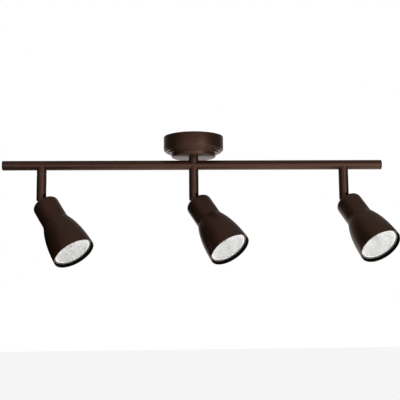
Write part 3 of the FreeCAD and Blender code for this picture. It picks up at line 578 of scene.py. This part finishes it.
@dataclass(frozen=True)
class HeadAxes:
    """A spot head's own axes: the origin on its tilt pivot, and it points along -Z."""

    pivot: Vector
    turn: Matrix

    @classmethod
    def of(cls, spot: Spot) -> "HeadAxes":
        """Reads a spot's axes from its joints.

        Args:
            spot: The spot.

        Returns:
            Its axes at rest.
        """
        joints = {joint["name"]: joint for joint in frame["joints"]}
        tilt = joints[f"{spot.value}_tilt"]
        back = Vector(joints[f"{spot.value}_lamp_twist"]["axis"]).normalized()
        across = -Vector(tilt["axis"]).normalized()
        turn = Matrix((across.cross(back), across, back)).transposed()
        return cls(Vector(tilt["pos_m"]), turn)

    def matrix(self) -> Matrix:
        """Gives the move from the head's own axes to the fixture's."""
        return Matrix.Translation(self.pivot) @ self.turn.to_4x4()


def point(radius: float, place: float) -> Any:
    """Gives a field for a radius and a distance from the shade's back."""
    return field(default_factory=lambda: Vector((radius, place)))


def down(place: float) -> float:
    """Gives the height, on the head's axis, of a distance from the shade's back."""
    return -SHADE_BACK - place


def hung(points: Iterable[tuple[float, float]]) -> list[tuple[float, float]]:
    """Gives the radius and height of points measured from the shade's back."""
    return [(radius, down(place)) for radius, place in points]


def meets(one: tuple[float, float], two: tuple[float, float]) -> bool:
    """Tells whether two places, each a radius and a height, are the same."""
    return abs(one[0] - two[0]) < NEAR and abs(one[1] - two[1]) < NEAR


def alone(piece: bpy.types.Object) -> None:
    """Makes a piece the only selected one and the active one.

    Args:
        piece: The piece.
    """
    bpy.ops.object.select_all(action="DESELECT")
    piece.select_set(True)
    bpy.context.view_layer.objects.active = piece


class Turning:
    """A turned piece, drawn out ring by ring about the Z axis in edit mode."""

    def __init__(self, name: str, radius: float, height: float, sides: int = 96) -> None:
        """Adds the first ring.

        Args:
            name: The piece's name.
            radius: The ring's radius.
            height: The ring's height.
            sides: Corners of every ring.
        """
        bpy.ops.object.select_all(action="DESELECT")
        bpy.ops.mesh.primitive_circle_add(vertices=sides, radius=radius, location=(0, 0, height))
        bpy.ops.object.transform_apply(location=True, rotation=False, scale=False)
        self.piece = bpy.context.object
        self.piece.name = name
        self.radius = radius
        self.height = height
        bpy.ops.object.mode_set(mode="EDIT")
        bpy.ops.mesh.select_mode(type="EDGE")
        bpy.ops.mesh.select_all(action="SELECT")

    def to(self, radius: float, height: float) -> "Turning":
        """Extrudes the open ring to a new radius and height.

        Args:
            radius: The new ring's radius.
            height: The new ring's height.

        Returns:
            The same piece.
        """
        rise = (0.0, 0.0, height - self.height)
        bpy.ops.mesh.extrude_region_move(TRANSFORM_OT_translate={"value": rise})
        scale = radius / self.radius
        bpy.ops.transform.resize(value=(scale, scale, 1.0), center_override=(0.0, 0.0, height))
        self.radius = radius
        self.height = height
        return self

    def along(self, rings: Iterable[tuple[float, float]]) -> "Turning":
        """Extrudes the open ring through several rings.

        Args:
            rings: Radius and height of each.

        Returns:
            The same piece.
        """
        for radius, height in rings:
            self.to(radius, height)
        return self

    def pick(self, wanted: Callable[[float, float], bool], kind: Pick = Pick.RINGS) -> "Turning":
        """Selects faces, or the edges that lie round the axis, by their place.

        Args:
            wanted: Test of the radius and height at an element's middle.
            kind: What is picked.

        Returns:
            The same piece.
        """
        bpy.ops.mesh.select_mode(type=kind.value)
        bpy.ops.mesh.select_all(action="DESELECT")
        bpy.ops.object.mode_set(mode="OBJECT")
        mesh = self.piece.data
        for item in mesh.edges if kind is Pick.RINGS else mesh.polygons:
            corners = [mesh.vertices[index].co for index in item.vertices]
            radii = [corner.xy.length for corner in corners]
            heights = [corner.z for corner in corners]
            level = max(heights) - min(heights) + max(radii) - min(radii) < LEVEL
            middle = (sum(radii) / len(radii), sum(heights) / len(heights))
            item.select = (kind is Pick.FACES or level) and wanted(*middle)
        bpy.ops.object.mode_set(mode="EDIT")
        return self

    def ring(self, radius: float, height: float) -> "Turning":
        """Selects the ring at a radius and height."""
        return self.pick(lambda *middle: meets(middle, (radius, height)))

    def eased(self, radius: float, height: float, offset: float, segments: int) -> "Turning":
        """Rounds the ring at a radius and height.

        Args:
            radius: The ring's radius.
            height: The ring's height.
            offset: Width of the rounding on each side of it.
            segments: Faces across the rounding.

        Returns:
            The same piece.
        """
        return self.ring(radius, height).rounded(offset, segments)

    def rounded(self, offset: float, segments: int) -> "Turning":
        """Rounds the selected edges."""
        bpy.ops.mesh.bevel(offset=offset, segments=segments, profile=0.5, affect="EDGES")
        return self

    def pole(self) -> "Turning":
        """Closes the selected ring on the axis."""
        bpy.ops.mesh.merge(type="CENTER")
        return self

    def outward(self) -> "Turning":
        """Welds rings that meet and points every face out of the piece.

        Returns:
            The same piece.
        """
        bpy.ops.mesh.select_all(action="SELECT")
        bpy.ops.mesh.remove_doubles(threshold=WELD)
        bpy.ops.mesh.select_all(action="SELECT")
        bpy.ops.mesh.normals_make_consistent(inside=False)
        return self

    def walled(self, thickness: float, lining: int = 0) -> "Turning":
        """Grows the wall behind an open surface.

        Args:
            thickness: The wall's thickness.
            lining: Material number of the wall's inner faces.

        Returns:
            The same piece.
        """
        bpy.ops.object.mode_set(mode="OBJECT")
        wall = self.piece.modifiers.new("wall", "SOLIDIFY")
        wall.thickness = thickness
        wall.offset = -1.0
        wall.use_even_offset = True
        wall.material_offset = lining
        bpy.ops.object.modifier_apply(modifier=wall.name)
        bpy.ops.object.mode_set(mode="EDIT")
        return self

    def drilled(self, radius: float, height: float) -> "Turning":
        """Drills a hole through the whole piece along X.

        Args:
            radius: The hole's radius.
            height: The height of its axis.

        Returns:
            The same piece.
        """
        bpy.ops.object.mode_set(mode="OBJECT")
        bpy.ops.object.select_all(action="DESELECT")
        bpy.ops.mesh.primitive_cylinder_add(
            vertices=HOLE_SIDES, radius=radius, depth=self.piece.dimensions.x * THROUGH,
            location=(0, 0, height), rotation=(0, math.pi / 2, 0))
        drill = bpy.context.object
        cutter = self.piece.modifiers.new("hole", "BOOLEAN")
        cutter.operation = "DIFFERENCE"
        cutter.object = drill
        alone(self.piece)
        bpy.ops.object.modifier_apply(modifier=cutter.name)
        bpy.data.objects.remove(drill)
        bpy.ops.object.mode_set(mode="EDIT")
        return self

    def done(self, smooth: float = 32.0) -> bpy.types.Object:
        """Leaves edit mode and smooths the piece.

        Args:
            smooth: Edges flatter than this many degrees are shaded smooth.

        Returns:
            The finished piece, its object at the origin.
        """
        bpy.ops.object.mode_set(mode="OBJECT")
        alone(self.piece)
        bpy.ops.object.shade_smooth_by_angle(angle=math.radians(smooth))
        return self.piece


def curve(start: Vector, control: Vector, end: Vector, steps: int) -> list[tuple[float, float]]:
    """Gives points of a smooth curve, without its start.

    Args:
        start: First point.
        control: The point that the curve bends towards.
        end: Last point.
        steps: Number of points.

    Returns:
        The points.
    """
    points = []
    for step in range(1, steps + 1):
        part = step / steps
        point = start * (1 - part) ** 2 + control * (2 * part * (1 - part)) + end * part ** 2
        points.append((point.x, point.y))
    return points


def fitted(piece: bpy.types.Object, body: str, finish: Finish, *nodes: str) -> None:
    """Dresses a finished piece and fixes it to its body in place of CAD nodes.

    Args:
        piece: The finished piece.
        body: The body that it moves with.
        finish: Its finish, named as the record's material slot.
        nodes: The CAD nodes that it stands for.
    """
    if not piece.data.materials:
        piece.data.materials.append(finish.made())
    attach(piece, body)
    if nodes:
        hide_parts(*nodes)
    LOG.info("%s: %d faces on %s", piece.name, len(piece.data.polygons), body)


@dataclass(frozen=True)
class Pattern:
    """A piece modelled once on a head's own axes, to be copied to every spot."""

    model: bpy.types.Object
    body: str
    finish: Finish
    nodes: tuple[str, ...] = ()

    def copy_to(self, spot: Spot, place: Matrix) -> None:
        """Copies the piece, with its own mesh, to a spot and fixes it there.

        Args:
            spot: The spot.
            place: The move from the head's own axes to the fixture's.
        """
        alone(self.model)
        bpy.ops.object.duplicate(linked=False)
        piece = bpy.context.object
        piece.name = f"{spot.value}_{self.model.name}"
        piece.matrix_world = place
        bpy.ops.object.transform_apply(location=True, rotation=True, scale=True)
        fitted(piece, f"{spot.value}_{self.body}", self.finish,
               *(f"{spot.value}_{node}" for node in self.nodes))


# ------------------------------------------------------------------ canopy

@dataclass
class Canopy:
    """The pressed cup against the ceiling, with three small steps below its wall."""

    sides: int = 128
    steps: tuple[tuple[float, float], ...] = (
        (39.5 * MM, 18.0 * MM), (37.4 * MM, 20.0 * MM),
        (33.5 * MM, 22.0 * MM), (29.2 * MM, 27.2 * MM))
    eases: tuple[float, ...] = (0.8 * MM, 0.4 * MM, 0.4 * MM, 1.5 * MM)
    ease_faces: int = 5
    crease: float = 0.3 * MM
    crease_faces: int = 3
    stem_hole: float = 5.1 * MM
    wall: float = 1.0 * MM
    edge: float = 0.3 * MM
    edge_faces: int = 3
    side_hole: float = 2.2 * MM
    side_hole_drop: float = 9.0 * MM

    def build(self) -> None:
        """Builds the cup and fixes it."""
        fitted(self.cup(), "fixture", Finish.bronze_paint, "canopy")

    def cup(self) -> bpy.types.Object:
        """Turns the stepped cup from its open top down to the stem's hole.

        Returns:
            The cup.
        """
        work = Turning("canopy_cup", self.steps[0][0], 0.0, self.sides)
        creases = []
        for (radius, depth), (following, _) in zip(self.steps, self.steps[1:]):
            work.to(radius, -depth).to(following, -depth)
            creases.append((following, -depth))
        radius, depth = self.steps[-1]
        work.to(radius, -depth).to(self.stem_hole, -depth).outward()
        for (radius, depth), offset in zip(self.steps, self.eases):
            work.eased(radius, -depth, offset, self.ease_faces)
        for radius, height in creases:
            work.eased(radius, height, self.crease, self.crease_faces)
        work.walled(self.wall)
        work.eased(self.steps[0][0], 0.0, self.edge, self.edge_faces)
        return work.drilled(self.side_hole, -self.side_hole_drop).done()


# ------------------------------------------------------------------ spot head

@dataclass
class Shade:
    """The spun bell of a spot: flat back, straight neck and a flare to the open rim."""

    tongue_hole: float = 4.1 * MM
    neck: float = 17.05 * MM
    neck_length: float = 34.0 * MM
    back_edge: float = 5.4 * MM
    back_edge_faces: int = 10
    waist_edge: float = 3.1 * MM
    waist_edge_faces: int = 6
    flare_bend: Vector = point(26.5 * MM, 53.0 * MM)
    flare_rings: int = 12
    rim: float = 27.2 * MM
    rim_edge: float = 0.25 * MM
    rim_edge_faces: int = 3
    rim_reach: float = 0.15 * MM
    length: float = 86.3 * MM
    wall: float = 0.9 * MM
    smooth: float = 40.0
    # Painted shade: the bell's inside is the same bronze paint, given here as a near-black, matt
    # copy that darkens it.
    lining: PowderCoat = PowderCoat((0.006, 0.004, 0.003), metal=0.0, coat=0.0, gloss=0.04)

    def patterns(self) -> list[Pattern]:
        """Models the shade once."""
        return [Pattern(self.bell(), "head", Finish.bronze_paint, ("shade",))]

    def bell(self) -> bpy.types.Object:
        """Turns the bell about the head's axis.

        Returns:
            The bell.
        """
        back, waist, lip = down(0.0), down(self.neck_length), down(self.length)
        flare = curve(Vector((self.neck, self.neck_length)), self.flare_bend,
                      Vector((self.rim, self.length)), self.flare_rings)
        work = Turning("bell", self.tongue_hole, back)
        work.to(self.neck, back).to(self.neck, waist).along(hung(flare)).outward()
        work.eased(self.neck, back, self.back_edge, self.back_edge_faces)
        work.eased(self.neck, waist, self.waist_edge, self.waist_edge_faces)
        work.piece.data.materials.append(Finish.bronze_paint.made())
        # Painted shade: the inner faces take the near-black copy of the paint.
        work.piece.data.materials.append(self.lining.material("bell_inside_painted_shade"))
        work.walled(self.wall, lining=1)
        innermost = self.rim - self.wall - self.rim_reach
        work.pick(lambda out, up: abs(up - lip) < self.rim_reach and out > innermost)
        return work.rounded(self.rim_edge, self.rim_edge_faces).done(self.smooth)


@dataclass
class Burner:
    """The lamp's burner: a quartz capsule with a domed tip and pip, round a tungsten coil."""

    sides: int = 40
    foot: float = 45.6 * MM
    foot_radius: float = 3.2 * MM
    foot_length: float = 3.0 * MM
    shoulder: float = 5.0 * MM
    shoulder_edge: float = 0.8 * MM
    shoulder_faces: int = 4
    radius: float = 4.4 * MM
    dome: float = 60.6 * MM
    dome_rise: float = 3.2 * MM
    dome_rings: int = 7
    dome_turn: float = 11.0
    pip: float = 0.5 * MM
    pip_rise: float = 3.7 * MM
    smooth: float = 40.0
    coil_top: float = 59.4 * MM
    coil_radius: float = 1.1 * MM
    coil_wire: float = 0.16 * MM
    coil_wire_sides: int = 8
    coil_pitch: float = 0.55 * MM
    coil_turns: int = 11
    coil_steps: int = 14
    coil_smooth: float = 50.0

    def patterns(self) -> list[Pattern]:
        """Models the capsule and the filament once.

        Returns:
            The capsule and the filament.
        """
        return [
            Pattern(self.capsule(), "lamp", Finish.quartz_glass, ("lamp_burner",)),
            Pattern(self.filament(), "lamp", Finish.pin_metal),
        ]

    def capsule(self) -> bpy.types.Object:
        """Turns the quartz capsule.

        Returns:
            The capsule.
        """
        foot, shoulder = down(self.foot), down(self.foot + self.shoulder)
        work = Turning("lamp_capsule", self.foot_radius, foot, self.sides)
        work.to(self.foot_radius, down(self.foot + self.foot_length)).to(self.radius, shoulder)
        work.to(self.radius, down(self.dome))
        for ring in range(1, self.dome_rings + 1):
            angle = math.radians(ring * self.dome_turn)
            rise = self.dome_rise * math.sin(angle)
            work.to(self.radius * math.cos(angle), down(self.dome + rise))
        work.to(self.pip, down(self.dome + self.pip_rise)).pole()
        work.ring(self.foot_radius, foot).pole().outward()
        work.eased(self.radius, shoulder, self.shoulder_edge, self.shoulder_faces)
        return work.done(self.smooth)

    def filament(self) -> bpy.types.Object:
        """Winds the tungsten coil on the head's axis.

        Returns:
            The coil.
        """
        bpy.ops.object.select_all(action="DESELECT")
        bpy.ops.mesh.primitive_circle_add(
            vertices=self.coil_wire_sides, radius=self.coil_wire, fill_type="NGON",
            location=(self.coil_radius, 0, down(self.coil_top)), rotation=(math.pi / 2, 0, 0))
        bpy.ops.object.transform_apply(location=True, rotation=True, scale=False)
        coil = bpy.context.object
        coil.name = "lamp_filament"
        winding = coil.modifiers.new("winding", "SCREW")
        winding.screw_offset = self.coil_pitch
        winding.iterations = self.coil_turns
        winding.steps = winding.render_steps = self.coil_steps
        bpy.ops.object.modifier_apply(modifier=winding.name)
        bpy.ops.object.mode_set(mode="EDIT")
        bpy.ops.mesh.select_mode(type="EDGE")
        bpy.ops.mesh.select_all(action="DESELECT")
        bpy.ops.mesh.select_non_manifold(extend=False)
        bpy.ops.mesh.edge_face_add()
        bpy.ops.mesh.select_all(action="SELECT")
        bpy.ops.mesh.normals_make_consistent(inside=False)
        bpy.ops.object.mode_set(mode="OBJECT")
        bpy.ops.object.shade_smooth_by_angle(angle=math.radians(self.coil_smooth))
        return coil


@dataclass
class Lamp:
    """The reflector lamp: dimpled mirror bowl, stippled front glass and burner."""

    throat: Vector = point(13.0 * MM, 48.0 * MM)
    outer_bend: Vector = point(23.7 * MM, 62.0 * MM)
    outer_rings: int = 10
    shoulder: Vector = point(25.0 * MM, 78.3 * MM)
    lip: Vector = point(23.3 * MM, 80.65 * MM)
    inner_bend: Vector = point(20.7 * MM, 63.3 * MM)
    burner_hole: float = 4.8 * MM
    wall: float = 1.3 * MM
    facet_sides: int = 40
    facet_rings: int = 11
    facet_seam: float = 0.16 * MM
    facet_sink: float = 0.22 * MM
    facet_smooth: float = 12.0
    front: float = 82.3 * MM
    glass_radius: float = 24.3 * MM
    glass_height: float = 1.6 * MM
    glass_gap: float = 0.05 * MM
    glass_sides: int = 48
    glass_rings: int = 12
    glass_front_edge: tuple[float, int] = (0.5 * MM, 4)
    glass_back_edge: tuple[float, int] = (0.3 * MM, 3)
    stipple_seam: float = 0.25 * MM
    stipple_rise: float = 0.12 * MM
    body_glass: Moulded = Moulded((0.36, 0.36, 0.35), 0.20)
    burner: Burner = field(default_factory=Burner)

    def patterns(self) -> list[Pattern]:
        """Models the lamp's pieces once.

        Returns:
            Its bowl, front glass, burner capsule and filament.
        """
        return [
            Pattern(self.bowl(), "lamp", Finish.reflector_mirror, ("lamp_reflector",)),
            Pattern(self.lens(), "lamp", Finish.lamp_glass, ("lamp_glass",)),
            *self.burner.patterns(),
        ]

    def bowl(self) -> bpy.types.Object:
        """Turns the bowl and presses the dimples of its mirror.

        Returns:
            The bowl.
        """
        face, throat = down(self.front), down(self.throat.y)
        seat = down(self.front - self.glass_height - self.glass_gap)
        rebate = self.glass_radius + self.glass_gap
        floor = Vector((self.burner_hole + self.wall, self.throat.y + self.wall))
        outer = curve(self.throat, self.outer_bend, self.shoulder, self.outer_rings)
        inner = [tuple(floor), *curve(floor, self.inner_bend, self.lip, self.facet_rings)]
        work = Turning("lamp_bowl", self.burner_hole, throat, self.facet_sides)
        work.to(self.throat.x, throat).along(hung(outer))
        work.to(self.shoulder.x, face).to(rebate, face).to(rebate, seat)
        work.along(reversed(hung(inner)))
        work.to(self.burner_hole, down(floor.y)).to(self.burner_hole, throat).outward()
        work.piece.data.materials.append(self.body_glass.material("lamp_body_glass"))
        work.piece.data.materials.append(Finish.reflector_mirror.made())
        middles = hung(((one[0] + two[0]) / 2, (one[1] + two[1]) / 2)
                       for one, two in zip(inner, inner[1:]))
        work.pick(lambda *middle: any(meets(middle, facet) for facet in middles), Pick.FACES)
        work.piece.active_material_index = 1
        bpy.ops.object.material_slot_assign()
        bpy.ops.mesh.inset(thickness=self.facet_seam, depth=-self.facet_sink,
                           use_individual=True)
        return work.done(self.facet_smooth)

    def lens(self) -> bpy.types.Object:
        """Turns the front glass, rounds its rims and presses the stipple behind it.

        Returns:
            The front glass.
        """
        face = down(self.front)
        behind = face + self.glass_height
        rings = self.glass_rings
        radii = [self.glass_radius * index / rings for index in range(1, rings)]
        work = Turning("lamp_lens", radii[0], behind, self.glass_sides)
        work.along((radius, behind) for radius in radii[1:])
        work.to(self.glass_radius, behind).to(self.glass_radius, face)
        work.along((radius, face) for radius in reversed(radii))
        work.pole().ring(radii[0], behind).pole().outward()
        work.eased(self.glass_radius, face, *self.glass_front_edge)
        work.eased(self.glass_radius, behind, *self.glass_back_edge)
        work.pick(lambda out, up: radii[0] < out < radii[-1] and abs(up - behind) < NEAR,
                  Pick.FACES)
        bpy.ops.mesh.inset(thickness=self.stipple_seam, depth=self.stipple_rise,
                           use_individual=True)
        return work.done()


@dataclass
class SpotHeads:
    """The three adjustable spots: a shade and a lamp on each."""

    shade: Shade = field(default_factory=Shade)
    lamp: Lamp = field(default_factory=Lamp)

    def build(self) -> None:
        """Models each piece once and copies it to every spot."""
        patterns = [*self.shade.patterns(), *self.lamp.patterns()]
        for spot in Spot:
            place = HeadAxes.of(spot).matrix()
            for pattern in patterns:
                pattern.copy_to(spot, place)
        for pattern in patterns:
            bpy.data.objects.remove(pattern.model)


# ------------------------------------------------------------------ studio

def aimed(item: bpy.types.Object, place: Vector, target: Vector, axis: str) -> None:
    """Puts an object at a place and turns one of its axes to a target.

    Args:
        item: The object.
        place: Its place.
        target: What it faces.
        axis: The axis that faces the target.
    """
    item.location = place
    item.rotation_euler = (target - place).to_track_quat(axis, "Y").to_euler()


@dataclass(frozen=True)
class Card:
    """A black card that stands beside the fixture, out of the camera's sight."""

    name: str
    place: tuple[float, float, float]
    size: tuple[float, float]
    facing: tuple[float, float, float]

    def build(self) -> None:
        """Stands the card."""
        bpy.ops.object.select_all(action="DESELECT")
        bpy.ops.mesh.primitive_plane_add(size=1.0)
        card = bpy.context.object
        card.name = self.name
        card.scale = (*self.size, 1.0)
        aimed(card, Vector(self.place), Vector(self.facing), "Z")
        card.data.materials.append(BlackFelt().material(self.name))
        card.visible_camera = False


@dataclass(frozen=True)
class Softbox:
    """A rectangular soft light that faces the fixture; its power is in watts."""

    name: str
    place: tuple[float, float, float]
    size: tuple[float, float]
    power: float
    facing: tuple[float, float, float] = (0.0, 0.0, -0.07)

    def build(self) -> None:
        """Hangs the light."""
        light = bpy.data.lights.new(self.name, "AREA")
        light.shape = "RECTANGLE"
        light.size, light.size_y = self.size
        light.energy = self.power
        lamp = bpy.data.objects.new(self.name, light)
        aimed(lamp, Vector(self.place), Vector(self.facing), "-Z")
        lamp.visible_camera = False
        bpy.context.collection.objects.link(lamp)


@dataclass(frozen=True)
class Viewpoint:
    """The camera's place, its turns from looking along +Y in degrees, and its lens."""

    place: tuple[float, float, float] = (-0.02779, -0.93698, -0.19617)
    pitch: float = 6.819
    yaw: float = 2.19
    roll: float = -0.538
    lens: float = 64.35
    sensor: float = 36.0
    nearest: float = 0.01

    def build(self) -> None:
        """Places the camera."""
        camera = bpy.data.cameras.new("camera")
        camera.sensor_width = self.sensor
        camera.lens = self.lens
        camera.clip_start = self.nearest
        pitch, yaw, roll = (math.radians(turn) for turn in (self.pitch, self.yaw, self.roll))
        level = math.cos(pitch)
        ahead = Vector((math.sin(yaw) * level, math.cos(yaw) * level, math.sin(pitch)))
        right = Vector((math.cos(yaw), -math.sin(yaw), 0.0))
        up = right.cross(ahead)
        side = right * math.cos(roll) + up * math.sin(roll)
        rise = up * math.cos(roll) - right * math.sin(roll)
        turn = Matrix((side, rise, -ahead)).transposed().to_4x4()
        holder = bpy.data.objects.new("camera", camera)
        holder.matrix_world = Matrix.Translation(Vector(self.place)) @ turn
        bpy.context.collection.objects.link(holder)
        bpy.context.scene.camera = holder


@dataclass
class Studio:
    """White backdrop, pale floor, soft light, black cards and the camera."""

    floor_drop: float = 1.15
    floor_size: float = 20.0
    tent: tuple[tuple[float, Colour], ...] = (
        (0.48, (0.66, 0.645, 0.63)), (0.72, (0.26, 0.255, 0.25)))
    side_edges: tuple[float, float] = (0.45, 0.88)
    side_strength: float = 0.08
    key: Softbox = Softbox("key", (0.9, -1.4, -0.10), (0.9, 0.9), 3.0)
    cards: tuple[Card, ...] = (
        Card("left_flag", (-0.52, 0.10, -0.24), (0.9, 0.6), (-0.15, -0.02, -0.13)),
        Card("low_flag", (-0.42, -0.10, -0.45), (1.1, 0.62), (-0.12, -0.02, -0.14)),
        Card("right_flag", (0.62, 0.12, -0.04), (0.7, 0.24), (0.20, 0.0, -0.05)),
    )
    viewpoint: Viewpoint = Viewpoint()

    def build(self) -> None:
        """Builds the whole studio."""
        bpy.context.scene.view_settings.view_transform = "Standard"
        self.world()
        self.floor()
        for item in (self.key, *self.cards, self.viewpoint):
            item.build()

    def world(self) -> None:
        """Makes the surroundings white to look at and dimmer to be lit by."""
        world = bpy.data.worlds.new("studio")
        bpy.context.scene.world = world
        graph = Graph(world)
        direction = graph.add("ShaderNodeTexCoord", out="Generated")
        height = graph.add("ShaderNodeSeparateXYZ", {}, direction, out="Z")
        across = graph.add("ShaderNodeSeparateXYZ", {}, direction, out="X")
        sideways = graph.add("ShaderNodeMath", {"operation": "ABSOLUTE"}, across)
        tent = graph.ramp(height * 0.5 + 0.5, self.tent)
        strength = graph.add("ShaderNodeMapRange", {}, sideways,
                             *self.side_edges, 1.0, self.side_strength)
        lighting = graph.add("ShaderNodeBackground", {}, tent, strength)
        seen = graph.add("ShaderNodeBackground", {}, (*WHITE, 1.0))
        camera_ray = graph.add("ShaderNodeLightPath", out="Is Camera Ray")
        mix = graph.add("ShaderNodeMixShader", {}, camera_ray, lighting, seen)
        graph.add("ShaderNodeOutputWorld", {}, mix)

    def floor(self) -> None:
        """Lays the pale floor well below the heads."""
        bpy.ops.object.select_all(action="DESELECT")
        bpy.ops.mesh.primitive_plane_add(size=self.floor_size, location=(0, 0, -self.floor_drop))
        floor = bpy.context.object
        floor.name = "floor"
        floor.data.materials.append(PaleFloor().material("pale_floor"))


def dress_nodes() -> None:
    """Gives every CAD node its finish."""
    for name, node in frame["nodes"].items():
        for slot in node.material_slots:
            finish = slot.material.name.split(".")[0]
            if finish in Finish.__members__:
                slot.material = Finish[finish].made()
            LOG.info("%s: %s", name, finish)


def main() -> None:
    """Builds everything in order."""
    logging.basicConfig(level=logging.INFO, format="%(name)s: %(message)s")
    dress_nodes()
    Canopy().build()
    SpotHeads().build()
    Studio().build()


if __name__ == "__main__":
    main()
